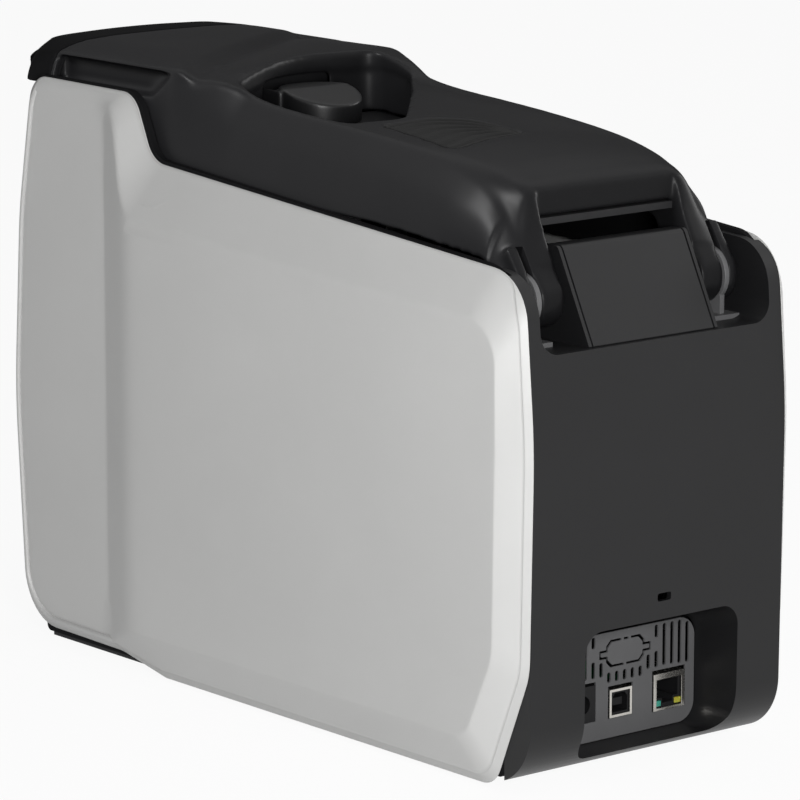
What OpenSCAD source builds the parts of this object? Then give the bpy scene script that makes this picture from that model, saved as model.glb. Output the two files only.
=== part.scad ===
// Desktop id card printer: two moulded side panels, a rear-hinged lid over the
// ribbon and print head, a card feed train between steel plates, and a port bay.
// X across the machine, -Y front, +Y rear, Z up from the table. Millimetres.

/* [Body] */
// Overall width over both side panels
body_w = 158; // [152:1:166]
// How far each side panel bulges out from its rim
panel_bulge = 9.5; // [8:0.5:11]
// How far the front column of a panel lies inside the rear plateau
column_in = 3; // [2:0.5:4]
// Depth of the rim piece under each panel
rim_w = 2.8; // [2:0.1:3.6]
// Y of the front edge of the side panels
front_y = -173; // [-176:1:-171]
// Y of the rear face
rear_y = 188; // [187:1:191]
// Height of the front column of the side panels
column_top = 260.5; // [258:0.5:262]
// Height of the side panels just behind the column
waist_top = 232.5; // [231:0.5:234]
// Height of the side panels at the rear
tail_top = 215; // [214:0.5:216]
// Height of the panels' lower edge over the table
panel_base = 1.5; // [1:0.5:2.5]
// Wall of the moulded covers
wall = 2.5; // [2:0.1:3]
// Thickness of the side frames
frame_t = 3; // [2.5:0.1:3.5]

/* [Lid] */
// Height of the hood, the highest point
hood_top = 277; // [276:0.5:279]
// Y of the hood's front lip
hood_front = -188; // [-190:1:-186]
// Y of the joint between the hood and the lid
hood_seam = -150; // [-152:1:-146]
// Gap between the lid and what stands beside it
lid_gap = 0.6; // [0.4:0.1:1]
// Y of the hinge axis
hinge_y = 158; // [157:0.5:159]
// Height of the hinge axis
hinge_z = 200; // [199:0.5:201]
// Radius of the hinge pins
hinge_pin_r = 3; // [2.5:0.25:3.5]
// Radius of the hinge knuckles
knuckle_r = 12; // [11:0.5:13]
// How far the release lever's nose reaches from its pivot
lever_reach = 42; // [38:1:44]

/* [Card path] */
// Height of the card path
card_z = 140; // [138:1:142]
// Thickness of the card stack
stack_h = 36; // [20:1:44]
// Radius of the rubber rollers
roller_r = 6.5; // [6:0.25:7]
// Length of the rubber rollers
roller_l = 58; // [54:1:60]
// Radius of the roller shafts
shaft_r = 3; // [2.5:0.25:3.5]
// Teeth on each roller gear
gear_teeth = 24; // [20:4:28]
// Teeth on the motor pinion
pinion_teeth = 14; // [12:1:16]
// Gear module
gear_m = 1; // [1:0.01:1.02]
// Face width of the gears
gear_w = 6; // [5:0.5:7]
// Thickness of the steel chassis plates
plate_t = 1.5; // [1.2:0.1:2]

/* [Ribbon and head] */
// Radius of the wound supply ribbon
supply_r = 17; // [14:0.5:18]
// Radius of the wound take-up ribbon
takeup_r = 12; // [9:0.5:15]
// Height of the ribbon spools
spool_z = 186; // [184:1:188]
// Distance of each ribbon spool from the print line
spool_y = 50; // [49:1:52]

/* [Ports] */
// Depth of the port bay
bay_depth = 28; // [24:1:30]
// Height of the port bay's roof at the rear face
bay_top = 66; // [64:1:68]
// Pitch of the vent slots in the port plate
vent_pitch = 4.7; // [4.4:0.1:5]

/* [Front] */
// Height of the hopper door
door_h = 74; // [70:1:76]
// Width of the hopper door
door_w = 76; // [70:1:80]
// Width of the output bin
bin_w = 68; // [62:1:72]
// Height of the display window
display_h = 34; // [30:1:36]
// Width of the display window
display_w = 46; // [40:1:48]
// Radius of the power key
key_r = 5.5; // [5:0.25:6]

/* [Hidden] */
$fn = 48;
eps = 0.01;
half_w = body_w / 2;
rim_x = half_w - panel_bulge;
seam_x = rim_x + rim_w;
run = 0.05;                      // radial clearance of a shaft in its hole
clear = 0.3;                     // clearance between pieces that move past each other
frame_x = rim_x - frame_t;       // inner face of the side frames
lid_x = frame_x - lid_gap;       // half width of the lid at its lower edge
strip = 1.5;                     // how far the side frame stands above the panel rim
arc_n = 7;                       // steps along each rounded corner
card_l = 85.6;                   // a bank card's length
card_w = 54;                     // and its width

// ---- outline helpers -------------------------------------------------------
function unit(v) = v / norm(v);
function turn(a) = a > 180 ? a - 360 : a < -180 ? a + 360 : a;
// Arc of radius r that rounds corner b between a and c
function corner(a, b, c, r) =
    let (u = unit(a - b), v = unit(c - b), half = acos(u * v) / 2,
         p = b + u * r / tan(half), q = b + v * r / tan(half),
         o = b + unit(u + v) * r / sin(half),
         a0 = atan2(p.y - o.y, p.x - o.x),
         da = turn(atan2(q.y - o.y, q.x - o.x) - a0))
    [for (i = [0:arc_n]) o + r * [cos(a0 + da * i / arc_n), sin(a0 + da * i / arc_n)]];
// Outline through corners [x, y, radius], each one rounded
function rounded(cs) =
    let (n = len(cs))
    [for (i = [0:n - 1])
        let (a = cs[(i + n - 1) % n], b = cs[i], c = cs[(i + 1) % n])
        each corner([a.x, a.y], [b.x, b.y], [c.x, c.y], b.z)];
function mix(p, q, t) = p * (1 - t) + q * t;
// Value at y of the polyline pts = [[y, value], ...]
function along(pts, y) = lookup(y, pts);

// Closed solid through rings of equal length, counter-clockwise seen from the last ring
module loft(rings) {
    n = len(rings[0]);
    last = (len(rings) - 1) * n;
    sides = [for (j = [0:len(rings) - 2], i = [0:n - 1])
        let (a = j * n + i, b = j * n + (i + 1) % n)
        each [[a, a + n, b + n], [a, b + n, b]]];
    polyhedron(points = [for (r = rings) each r], convexity = 12,
        faces = concat([[for (i = [0:n - 1]) i]], sides,
                       [[for (i = [n - 1:-1:0]) last + i]]));
}
// Extrusion along X of an outline given in (Y, Z), from x0 over length w
module along_x(x0, w) {
    translate([x0, 0, 0]) rotate([90, 0, 90]) linear_extrude(w) children();
}
// Extrusion along Y of an outline given in (X, Z), from y0 over length d
module along_y(y0, d) {
    translate([0, y0 + d, 0]) rotate([90, 0, 0]) linear_extrude(d) children();
}
// Box between two corners
module block(a, b) { translate(a) cube(b - a); }
// Cylinder along X
module rod_x(r, x0, x1, y, z, fn = 48) {
    translate([x0, y, z]) rotate([0, 90, 0]) cylinder(r = r, h = x1 - x0, $fn = fn);
}
// Cylinder along Y
module rod_y(r, y0, y1, x, z, fn = 48) {
    translate([x, y0, z]) rotate([-90, 0, 0]) cylinder(r = r, h = y1 - y0, $fn = fn);
}
// The same piece on both sides
module both_sides() {
    children();
    mirror([1, 0, 0]) children();
}
// Rectangle with round corners, centred
module pill(w, h, r) {
    polygon(rounded([[-w / 2, -h / 2, r], [w / 2, -h / 2, r], [w / 2, h / 2, r], [-w / 2, h / 2, r]]));
}

// ---- side panels -----------------------------------------------------------
column_back = -79;               // where the column's top ends
waist_y = -66;                   // where the long slope begins
column_base = panel_base + 7;    // the column's lower edge is higher than the plateau's
belly_z = 115;                   // height of the panel's foremost point
spine_z = 146;                   // height of the panel's rearmost point
// Outline of the rim in (Y, Z), counter-clockwise seen from +X
rim_outline = [
    [front_y + 6.5, column_base, 24], [-92, column_base - 1, 20], [-60, panel_base, 12],
    [rear_y - 23, panel_base, 12], [rear_y - 2, 52, 34], [rear_y, spine_z, 300],
    [rear_y - 6, tail_top, 22], [waist_y, waist_top, 14], [column_back, column_top + 0.5, 13],
    [front_y + 16, column_top + 1, 13], [front_y + 5.5, 200, 200], [front_y, belly_z, 300]];
// Outline of the virtual crown where the chamfer meets the outer face
crown_outline = [
    [front_y + 22, column_base + 17, 18], [-96, column_base + 16, 18], [-66, panel_base + 20, 14],
    [rear_y - 32, panel_base + 20, 12], [rear_y - 15, 58, 30], [rear_y - 13.5, spine_z, 260],
    [rear_y - 14, tail_top - 19.5, 18], [waist_y - 20, waist_top - 25, 20],
    [column_back - 20, column_top - 18.5, 13], [front_y + 29, column_top - 18.5, 12],
    [front_y + 19, 196, 180], [front_y + 14, belly_z, 260]];
rim_ring = rounded(rim_outline);
crown_ring = rounded(crown_outline);
seam_mix = 0.2;                  // how far in the seam with the rim piece lies
step_y0 = -96;                   // the step from column to plateau starts here
step_y1 = -70;                   // and ends here
function ring_at(t, x) = [for (i = [0:len(rim_ring) - 1])
    let (p = mix(rim_ring[i], crown_ring[i], t)) [x, p.x, p.y]];
function smooth(t) = t * t * (3 - 2 * t);
// Plan outline (X, Y) that holds the column back from the plateau, d inside the surface
function step_plan(d) = concat(
    [[0, front_y - 20], [half_w - column_in - d, front_y - 20]],
    [for (i = [0:8]) [half_w - column_in - d + column_in * smooth(i / 8), mix(step_y0, step_y1, i / 8)]],
    [[half_w - d, rear_y + 20], [0, rear_y + 20]]);

module panel_volume(t0, x0, t1, x1, d) {
    intersection() {
        loft([ring_at(t0, x0), ring_at(mix(t0, t1, 0.5) - 0.05, mix(x0, x1, 0.5)), ring_at(t1, x1)]);
        linear_extrude(hood_top) polygon(step_plan(d));
    }
}
rim_in = 0.32;                   // inner edge of the rim piece, as a mix
module side_panel() {
    difference() {
        panel_volume(seam_mix, seam_x, 1, half_w, 0);
        panel_volume(rim_in, seam_x - 1, 1.1, half_w - wall, wall);
    }
}
module side_trim() {
    difference() {
        loft([ring_at(0, rim_x), ring_at(seam_mix, seam_x)]);
        along_x(rim_x - 1, rim_w + 2) polygon([for (p = ring_at(rim_in, 0)) [p.y, p.z]]);
    }
}
module side_panel_right() { color("#b1b1b1") side_panel(); }
module side_panel_left() { color("#b1b1b1") mirror([1, 0, 0]) side_panel(); }
module side_trims() { color("#c4c4c4") both_sides() side_trim(); }

// ---- side frames -----------------------------------------------------------
frame_rear = 170;                // the rear cover starts here
frame_front = front_y + 22;
frame_base = 6;
// Top edge of the side frame in (Y, Z), from rear to front
frame_top = [[frame_rear, tail_top - 2.5, 1], [frame_rear - 8, tail_top + strip + 0.4, 20],
    [waist_y + 2, waist_top + strip, 14], [column_back + 2, column_top + strip, 13],
    [frame_front, column_top + strip, 3]];
function window(y0, y1, z0, z1) = rounded([[y0, z0, 8], [y1, z0, 8], [y1, z1, 8], [y0, z1, 8]]);
module side_frame() {
    difference() {
        along_x(frame_x, frame_t) polygon(rounded(concat(
            [[frame_front, frame_base, 3], [frame_rear, frame_base, 3]], frame_top)));
        for (w = [[-140, -90, 30, 120], [-140, -90, 135, 235], [-76, -10, 30, 95], [-76, -10, 110, 205],
                  [4, 70, 30, 95], [4, 70, 110, 200], [84, 140, 110, 170],
                  [fan[1] - fan_r + 2, fan[1] + fan_r - 2, fan[2] - fan_r + 2, fan[2] + fan_r - 2]])
            along_x(frame_x - 1, frame_t + 2) polygon(window(w[0], w[1], w[2], w[3]));
    }
}
module side_frame_right() { color("#2b2b2b") side_frame(); }
module side_frame_left() { color("#2b2b2b") mirror([1, 0, 0]) side_frame(); }

// ---- base ------------------------------------------------------------------
pan_z = 3;
pan_front = frame_front + 0.5;
pan_rear = 156;
foot_x = 50;
foot_y = [-135, 135];
module base_pan() {
    color("#262626") difference() {
        block([-frame_x, pan_front, pan_z], [frame_x, pan_rear, pan_z + 15]);
        block([-frame_x + wall, pan_front + wall, pan_z + wall], [frame_x - wall, pan_rear - wall, 40]);
        for (y = [-60:12:60]) block([-30, y, 0], [30, y + 4, pan_z + wall + 1]);
        // room for the board and its sockets
        block([bay_x0 - 12, pan_rear - wall - 1, board_z - 2], [bay_x1 + 3, pan_rear + 1, 40]);
    }
}
foot_r = 9;
module rubber_feet() {
    color("#181818") for (x = [-foot_x, foot_x], y = foot_y)
        translate([x, y, 0]) difference() {
            cylinder(r = foot_r, h = pan_z);
            translate([0, 0, -eps]) cylinder(r = foot_r / 3, h = 1.2);
        }
}

// ---- rear cover ------------------------------------------------------------
cover_front = 150;               // front edge of the cover's lower and upper lips
cover_corner = 26;               // round lower rear corner
pocket_x = 63;                   // half width of the hinge pocket
pocket_z = 182;                  // floor of the hinge pocket
pocket_front = 141;
bay_x0 = -45;                    // port bay, left and right sides
bay_x1 = 40;
bay_base = 9;
bay_plate_y = rear_y - bay_depth;  // rear face of the port plate
// Outside of the rear cover in (Y, Z), d inside the surface
function cover_outline(d) = rounded([
    [cover_front - 4, pan_z + d, 1], [rear_y - 2 - d, pan_z + d, cover_corner - d],
    [rear_y - 0.3 - d, spine_z, 300], [rear_y - 6 - d, tail_top - 1 - d, 20 - d],
    [cover_front - 4, tail_top + 1 - d, 1]]);
function bay_outline(d, top) = rounded([
    [bay_x0 - d, bay_base - d, 9 + d], [bay_x1 + d, bay_base - d, 9 + d],
    [bay_x1 + d, top + d, 9 + d], [bay_x0 - d, top + d, 9 + d]]);
// Tapered well from the rear face to the port plate
module bay_well(d, grow) {
    y1 = rear_y + grow;
    top = bay_top - 11;
    outer = bay_outline(d, bay_top);
    inner = bay_outline(d, top);
    loft([[for (p = outer) [p.x, y1, p.y]], [for (p = inner) [p.x, bay_plate_y - grow, p.y]]]);
}
lock_z = 74;
module rear_cover() {
    color("#343434") {
        difference() {
            union() {
                difference() {
                    along_x(-rim_x, 2 * rim_x) polygon(cover_outline(0));
                    along_x(-rim_x + frame_t, 2 * (rim_x - frame_t)) polygon(cover_outline(wall));
                    // the lips end where the side frames and the pan begin
                    block([-rim_x - 1, cover_front - 10, 0], [rim_x + 1, pan_rear, 80]);
                    block([-rim_x - 1, cover_front - 10, 0], [rim_x + 1, frame_rear, hinge_z - 22]);
                    both_sides() block([frame_x, cover_front - 10, 0], [rim_x + 1, frame_rear, 300]);
                }
                // walls of the hinge pocket
                intersection() {
                    along_x(-frame_x, 2 * frame_x) polygon(cover_outline(0.5));
                    difference() {
                        block([-frame_x, pocket_front - wall, pocket_z - wall], [frame_x, rear_y, 300]);
                        block([-pocket_x, pocket_front, pocket_z], [pocket_x, rear_y + 1, 301]);
                    }
                }
                // sleeve of the port bay
                intersection() {
                    along_x(-rim_x, 2 * rim_x) polygon(cover_outline(0.5));
                    bay_well(2, 0);
                }
            }
            bay_well(0, 3);
            // the lid's corner swings past the front of the cover's roof
            block([-rim_x, cover_front - 10, tail_top - 5], [rim_x, tail_y + 2.5, 300]);
            block([-pocket_x, pocket_front, pocket_z], [pocket_x, rear_y + 1, 301]);
            translate([-3, 0, lock_z]) along_y(rear_y - 8, 12) pill(7.5, 3.4, 1);
        }
    }
}

// Sloped cover between the hinge arms
slope_top = [162, 221.5];
slope_foot = [182, pocket_z];
hump_x = 35.5;
module hinge_cover() {
    color("#383838") difference() {
        along_x(-hump_x, 2 * hump_x) polygon(rounded([
            [149, pocket_z, 1], [slope_foot[0], slope_foot[1], 0.5], [slope_top[0], slope_top[1], 3],
            [150, slope_top[1] - 1, 3]]));
        along_x(-hump_x + 2, 2 * hump_x - 4) polygon([
            [151.5, pocket_z - 1], [slope_foot[0] - 2.4, pocket_z - 1], [slope_top[0] - 2.2, slope_top[1] - 4],
            [152.5, slope_top[1] - 4]]);
    }
}

// ---- port plate and connectors ----------------------------------------------
plate_w = 2;
plate_y0 = bay_plate_y - plate_w;
dc = [18, 25.5];                 // (X, Z) centres of the connectors
usb = [-3, 23.7];
lan = [-30.3, 24.2];
dc_size = [14, 15.5];
usb_size = [12.6, 12.2];
lan_size = [17.6, 16];
knock = [-5.3, 44.8];            // blank for a serial connector
shell_t = 0.6;
module port_plate() {
    color("#5a5a5a") difference() {
        along_y(plate_y0, plate_w) polygon(bay_outline(-clear, bay_top - 11));
        translate([dc[0], 0, dc[1]]) along_y(plate_y0 - 1, 4) square(dc_size + [0.4, 0.4], center = true);
        translate([usb[0], 0, usb[1]]) along_y(plate_y0 - 1, 4) square(usb_size + [0.4, 0.4], center = true);
        translate([lan[0], 0, lan[1]]) along_y(plate_y0 - 1, 4) square(lan_size + [0.4, 0.4], center = true);
        // vents, left out round the blank
        for (i = [0:15]) {
            x = -41.5 + i * vent_pitch;
            near = abs(x - knock[0]) < 18;
            translate([x, 0, near ? 36 : 43.5]) along_y(plate_y0 - 1, 4) pill(2.2, near ? 4 : 16, 1.05);
        }
        translate([knock[0], 0, knock[1]]) along_y(bay_plate_y - 0.6, 1) difference() {
            pill(26, 11.5, 2);
            pill(24.6, 10.1, 1.4);
        }
    }
}
module dc_jack() {
    color("#1c1c1c") translate([dc[0], 0, dc[1]]) {
        difference() {
            along_y(bay_plate_y - 13, 13) square(dc_size, center = true);
            rod_y(4, bay_plate_y - 10, bay_plate_y + 1, 0, 0);
        }
        rod_y(1, bay_plate_y - 10 - eps, bay_plate_y - 1, 0, 0, 24);
    }
}
module shell_of(size, at, depth) {
    translate([at[0], 0, at[1]]) difference() {
        along_y(bay_plate_y - depth, depth + 0.4) square(size, center = true);
        along_y(bay_plate_y - depth + shell_t, depth + 1)
            square(size - [2 * shell_t, 2 * shell_t], center = true);
    }
}
module port_shells() {
    color("#c8c8c8") {
        shell_of(usb_size, usb, 16);
        shell_of(lan_size, lan, 20);
    }
}
module usb_core() {
    translate([usb[0], 0, usb[1]]) {
        difference() {
            along_y(bay_plate_y - 15.4, 15) square(usb_size - [2 * shell_t, 2 * shell_t], center = true);
            along_y(bay_plate_y - 12, 14)
                polygon([[-4.3, -4], [4.3, -4], [4.3, 2], [2.6, 4], [-2.6, 4], [-4.3, 2]]);
        }
        along_y(bay_plate_y - 12 - eps, 10) square([5.6, 3.2], center = true);
    }
}
led_w = 3.6;
led_h = 2.6;
led_x = 5.6;
led_z = -5.2;
module lan_core() {
    translate([lan[0], 0, lan[1]]) difference() {
        along_y(bay_plate_y - 19.4, 18.8) square(lan_size - [2 * shell_t, 2 * shell_t], center = true);
        along_y(bay_plate_y - 14, 16) union() {
            translate([0, 1.2]) square([11.8, 8], center = true);
            translate([0, -3.4]) square([6.2, 3.4], center = true);
        }
        for (s = [-1, 1]) translate([s * led_x, 0, led_z]) along_y(bay_plate_y - 6, 8)
            square([led_w + 0.2, led_h + 0.2], center = true);
    }
}
module port_inserts() {
    color("#202020") {
        usb_core();
        lan_core();
    }
}
module both_leds() {
    for (s = [-1, 1]) translate([lan[0] + s * led_x, 0, lan[1] + led_z])
        along_y(bay_plate_y - 6 + eps, 5.6) square([led_w, led_h], center = true);
}
module lan_lights() { color("#2a9c8a") both_leds(); }

board_z = 14;
board_t = 1.6;
module main_board() {
    color("#1f5a34") {
        difference() {
            block([-52, 82, board_z], [bay_x1, bay_plate_y - plate_w - clear, board_z + board_t]);
            for (x = [-48, 36], y = [86, 150]) translate([x, y, board_z - 1]) cylinder(r = 1.7, h = 4, $fn = 24);
        }
        for (x = [-48, 36], y = [86, 150]) translate([x, y, pan_z + wall]) difference() {
            cylinder(r = 3, h = board_z - pan_z - wall, $fn = 24);
            translate([0, 0, 3]) cylinder(r = 1.2, h = 12, $fn = 24);
        }
        // processor, memory, capacitors and sockets
        block([-20, 96, board_z + board_t], [0, 116, board_z + board_t + 1.6]);
        block([8, 98, board_z + board_t], [20, 112, board_z + board_t + 1.2]);
        for (i = [0:2]) translate([-42 + 9 * i, 128, board_z + board_t]) cylinder(r = 3.2, h = 9, $fn = 24);
        block([-46, 88, board_z + board_t], [-28, 94, board_z + board_t + 6]);
    }
}

// ---- fan ---------------------------------------------------------------------
fan = [-53, 118, 62];            // centre of the fan, which blows along X
fan_s = 40;
fan_d = 10;
fan_r = 18;
module fan_frame() {
    color("#202020") translate(fan) {
        difference() {
            along_x(-fan_d / 2, fan_d) pill(fan_s, fan_s, 4);
            rod_x(fan_r + 1, -fan_d / 2 + 1.6, fan_d, 0, 0);
            rod_x(fan_r - 1, -fan_d, fan_d, 0, 0);
        }
        // three spokes and the bearing boss
        for (a = [0:120:359]) rotate([a, 0, 0]) block([-fan_d / 2 + 0.2, -1, 5], [-fan_d / 2 + 1.2, 1, fan_r]);
        difference() {
            rod_x(7, -fan_d / 2, -fan_d / 2 + 1.5, 0, 0);
            rod_x(1 + run, -fan_d, fan_d, 0, 0, 24);
        }
    }
    // bracket to the side frame
    color("#202020") both_y(fan[1], fan_s / 2 - 3)
        block([-frame_x, -3, fan[2] - fan_s / 2 + 1], [fan[0] - fan_d / 2, 3, fan[2] - fan_s / 2 + 7]);
}
// Copies at y + d and y - d
module both_y(y, d) { for (s = [-1, 1]) translate([0, y + s * d, 0]) children(); }
module fan_rotor() {
    color("#2c2c2c") translate(fan) {
        rod_x(7.5, -fan_d / 2 + 1.5 + clear, fan_d / 2 - 0.5, 0, 0);
        rod_x(1, -fan_d / 2, 0, 0, 0, 24);
        for (a = [0:45:359]) rotate([a, 0, 0]) translate([0, 0, 7])
            rotate([0, 0, 35]) block([-3, -0.5, 0], [3, 0.5, fan_r - 7.6]);
    }
}

// ---- lid ---------------------------------------------------------------------
// Heights along Y of the lid's edge, shoulder, rail and crown
edge_drop = 3;                   // the lower edge lies this far below the frame's top
tail_y = 148;                    // the lid narrows behind here, to enter the hinge pocket
knuckle_end = 163;
tail_x = pocket_x - lid_gap;
lip_z = hood_top - 15;           // bottom of the hood's lip
lip_back_y = front_y - 4;        // the lip hangs in front of here
edge_pts = [[hood_front, lip_z], [lip_back_y - 1, lip_z], [lip_back_y + 1, column_top - edge_drop],
    [-80, column_top - edge_drop],
    [-75, column_top - 10], [-69, waist_top + 4], [-64, waist_top + strip - edge_drop],
    [tail_y, tail_top + strip - edge_drop + 2.5], [tail_y + 1, hinge_z + 6], [knuckle_end, hinge_z + 2]];
dome_end = -54;                  // the dome stops here and the lid falls to the saddle
crown_pts = [[hood_front, hood_top - 8], [hood_front + 6, hood_top - 2.5], [hood_front + 18, hood_top - 0.5],
    [-140, hood_top], [-122, hood_top - 0.3], [-110, hood_top - 3], [-96, hood_top - 1.8],
    [-80, hood_top - 1.8], [dome_end, hood_top - 3.5],
    [-38, hood_top - 6], [-20, hood_top - 11], [0, hood_top - 14.5], [40, hood_top - 17.5],
    [100, hood_top - 20], [125, hood_top - 24.5], [140, hood_top - 29], [151, hood_top - 34],
    [knuckle_end, hood_top - 60]];
rail_pts = [[hood_front, hood_top - 9.5], [hood_front + 6, hood_top - 4], [hood_front + 18, hood_top - 1.5],
    [-140, hood_top - 0.8], [-124, hood_top - 1.5], [-110, hood_top - 5], [-96, hood_top - 2.8],
    [-80, hood_top - 2.6], [dome_end, hood_top - 4],
    [-38, hood_top - 7.5], [-25, hood_top - 12.5], [-10, hood_top - 15.5], [20, hood_top - 18],
    [60, hood_top - 19.5], [105, hood_top - 22.7], [125, hood_top - 26], [140, hood_top - 30],
    [151, hood_top - 34.5], [157, hood_top - 50], [knuckle_end, hood_top - 62]];
shoulder_pts = [[hood_front, hood_top - 13], [hood_front + 6, hood_top - 8], [hood_front + 18, hood_top - 6],
    [-140, hood_top - 5], [-60, hood_top - 4.7], [-44, hood_top - 6.5], [-32, hood_top - 9.5],
    [-20, hood_top - 13.5], [0, hood_top - 16], [32, hood_top - 18], [60, hood_top - 20],
    [105, hood_top - 25], [130, hood_top - 31], [140, hood_top - 36], [148, hood_top - 43],
    [157, hood_top - 54], [knuckle_end, hood_top - 64]];
shoulder_x_pts = [[hood_front, 48], [hood_front + 10, 56], [-150, 60], [-62, 60], [-40, 54], [-20, 50],
    [200, 50]];
edge_x_pts = [[hood_front, 51], [hood_front + 3, 56], [hood_front + 8, 61], [hood_front + 18, lid_x],
    [tail_y - 4, lid_x], [tail_y - 1, tail_x], [rear_y, tail_x]];
rail_x = 40;
// Half section at y, d inside the surface, from the lower edge up to the crown
function half_section(y, d) =
    let (xe = along(edge_x_pts, y) - d, ze = along(edge_pts, y),
         xs = along(shoulder_x_pts, y) - 0.8 * d, zs = along(shoulder_pts, y) - 0.6 * d,
         xt = rail_x - 0.5 * d, zt = along(rail_pts, y) - d, zc = along(crown_pts, y) - d)
    [[xe, ze], [mix(xe, xs, 0.14), mix(ze, zs, 0.3)], [mix(xe, xs, 0.4), mix(ze, zs, 0.62)],
     [mix(xe, xs, 0.76), mix(ze, zs, 0.88)], [xs, zs], [mix(xs, xt, 0.45), mix(zs, zt, 0.66)], [xt, zt],
     [xt * 0.62, mix(zt, zc, 0.62)], [xt * 0.3, mix(zt, zc, 0.92)], [0, zc]];
function arch(y, d) = let (h = half_section(y, d), n = len(h))
    concat([for (p = h) [-p.x, y, p.y]], [for (i = [n - 2:-1:0]) [h[i].x, y, h[i].y]]);
function rev(l) = [for (i = [len(l) - 1:-1:0]) l[i]];
// Shell between offsets d0 and d1
function shell_ring(y, d0, d1) = concat(arch(y, d0), rev(arch(y, d1)));
lid_stations = [hood_seam + 0.3, -140, -130, -124, -117, -110, -103, -96, -88, -80, -78, -75, -72, -69,
    -66.5, -64, -60, dome_end, -48, -44, -38, -32, -25, -20, -10, 0, 10, 20, 32, 45, 60, 80, 100, 110, 118,
    125, 130, 135, 140, tail_y - 4, tail_y - 1, tail_y, tail_y + 0.4, 151, 154, 157, 160, knuckle_end];
module lid_shell(d0, d1, y0 = -200, y1 = 200) {
    loft([for (y = lid_stations) if (y >= y0 && y <= y1) shell_ring(y, d0, d1)]);
}
module lid_solid(d, y0, y1) {
    loft([for (y = lid_stations) if (y >= y0 && y <= y1) arch(y, d)]);
}
// Finger pocket in (X, Y)
pocket_edge = [[46, -26, 6], [46, 36, 12], [18, 44, 14], [-34, -6, 30], [-46, -30, 12],
    [-46, -56, 8], [0, -58, 60], [45, -36, 6]];
pocket_c = [4, -16];
function grown(cs, c, g) =
    [for (p = cs) let (v = unit([p.x, p.y] - c)) [p.x + g * v.x, p.y + g * v.y, p.z + g]];
// Ribbed thumb grip in (X, Y), behind the pocket
grip_edge = [[37, 50, 5], [38, 97, 3], [14, 96, 30], [-14, 88, 3], [-18, 54, 14], [2, 46, 20], [26, 52, 12]];
grip_c = [14, 74];
grip_depth = 1.5;
liner_z = 12;                    // underside of the liner over the lid's edge line
liner_t = 3;
post_r = 3.5;
function liner_at(y) = along(edge_pts, y) + liner_z;
recess_x = 57;                   // wall under the hood's brim
recess_z0 = 259.5;
brim_z = hood_top - 6.5;
hook_pivot = [-128, 264];
hook_bar_r = 2;
lip_y = 151;
arm_x0 = 38;
arm_x1 = 50.2;
slot_x1 = 53.2;
ear_x = 58;
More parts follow.
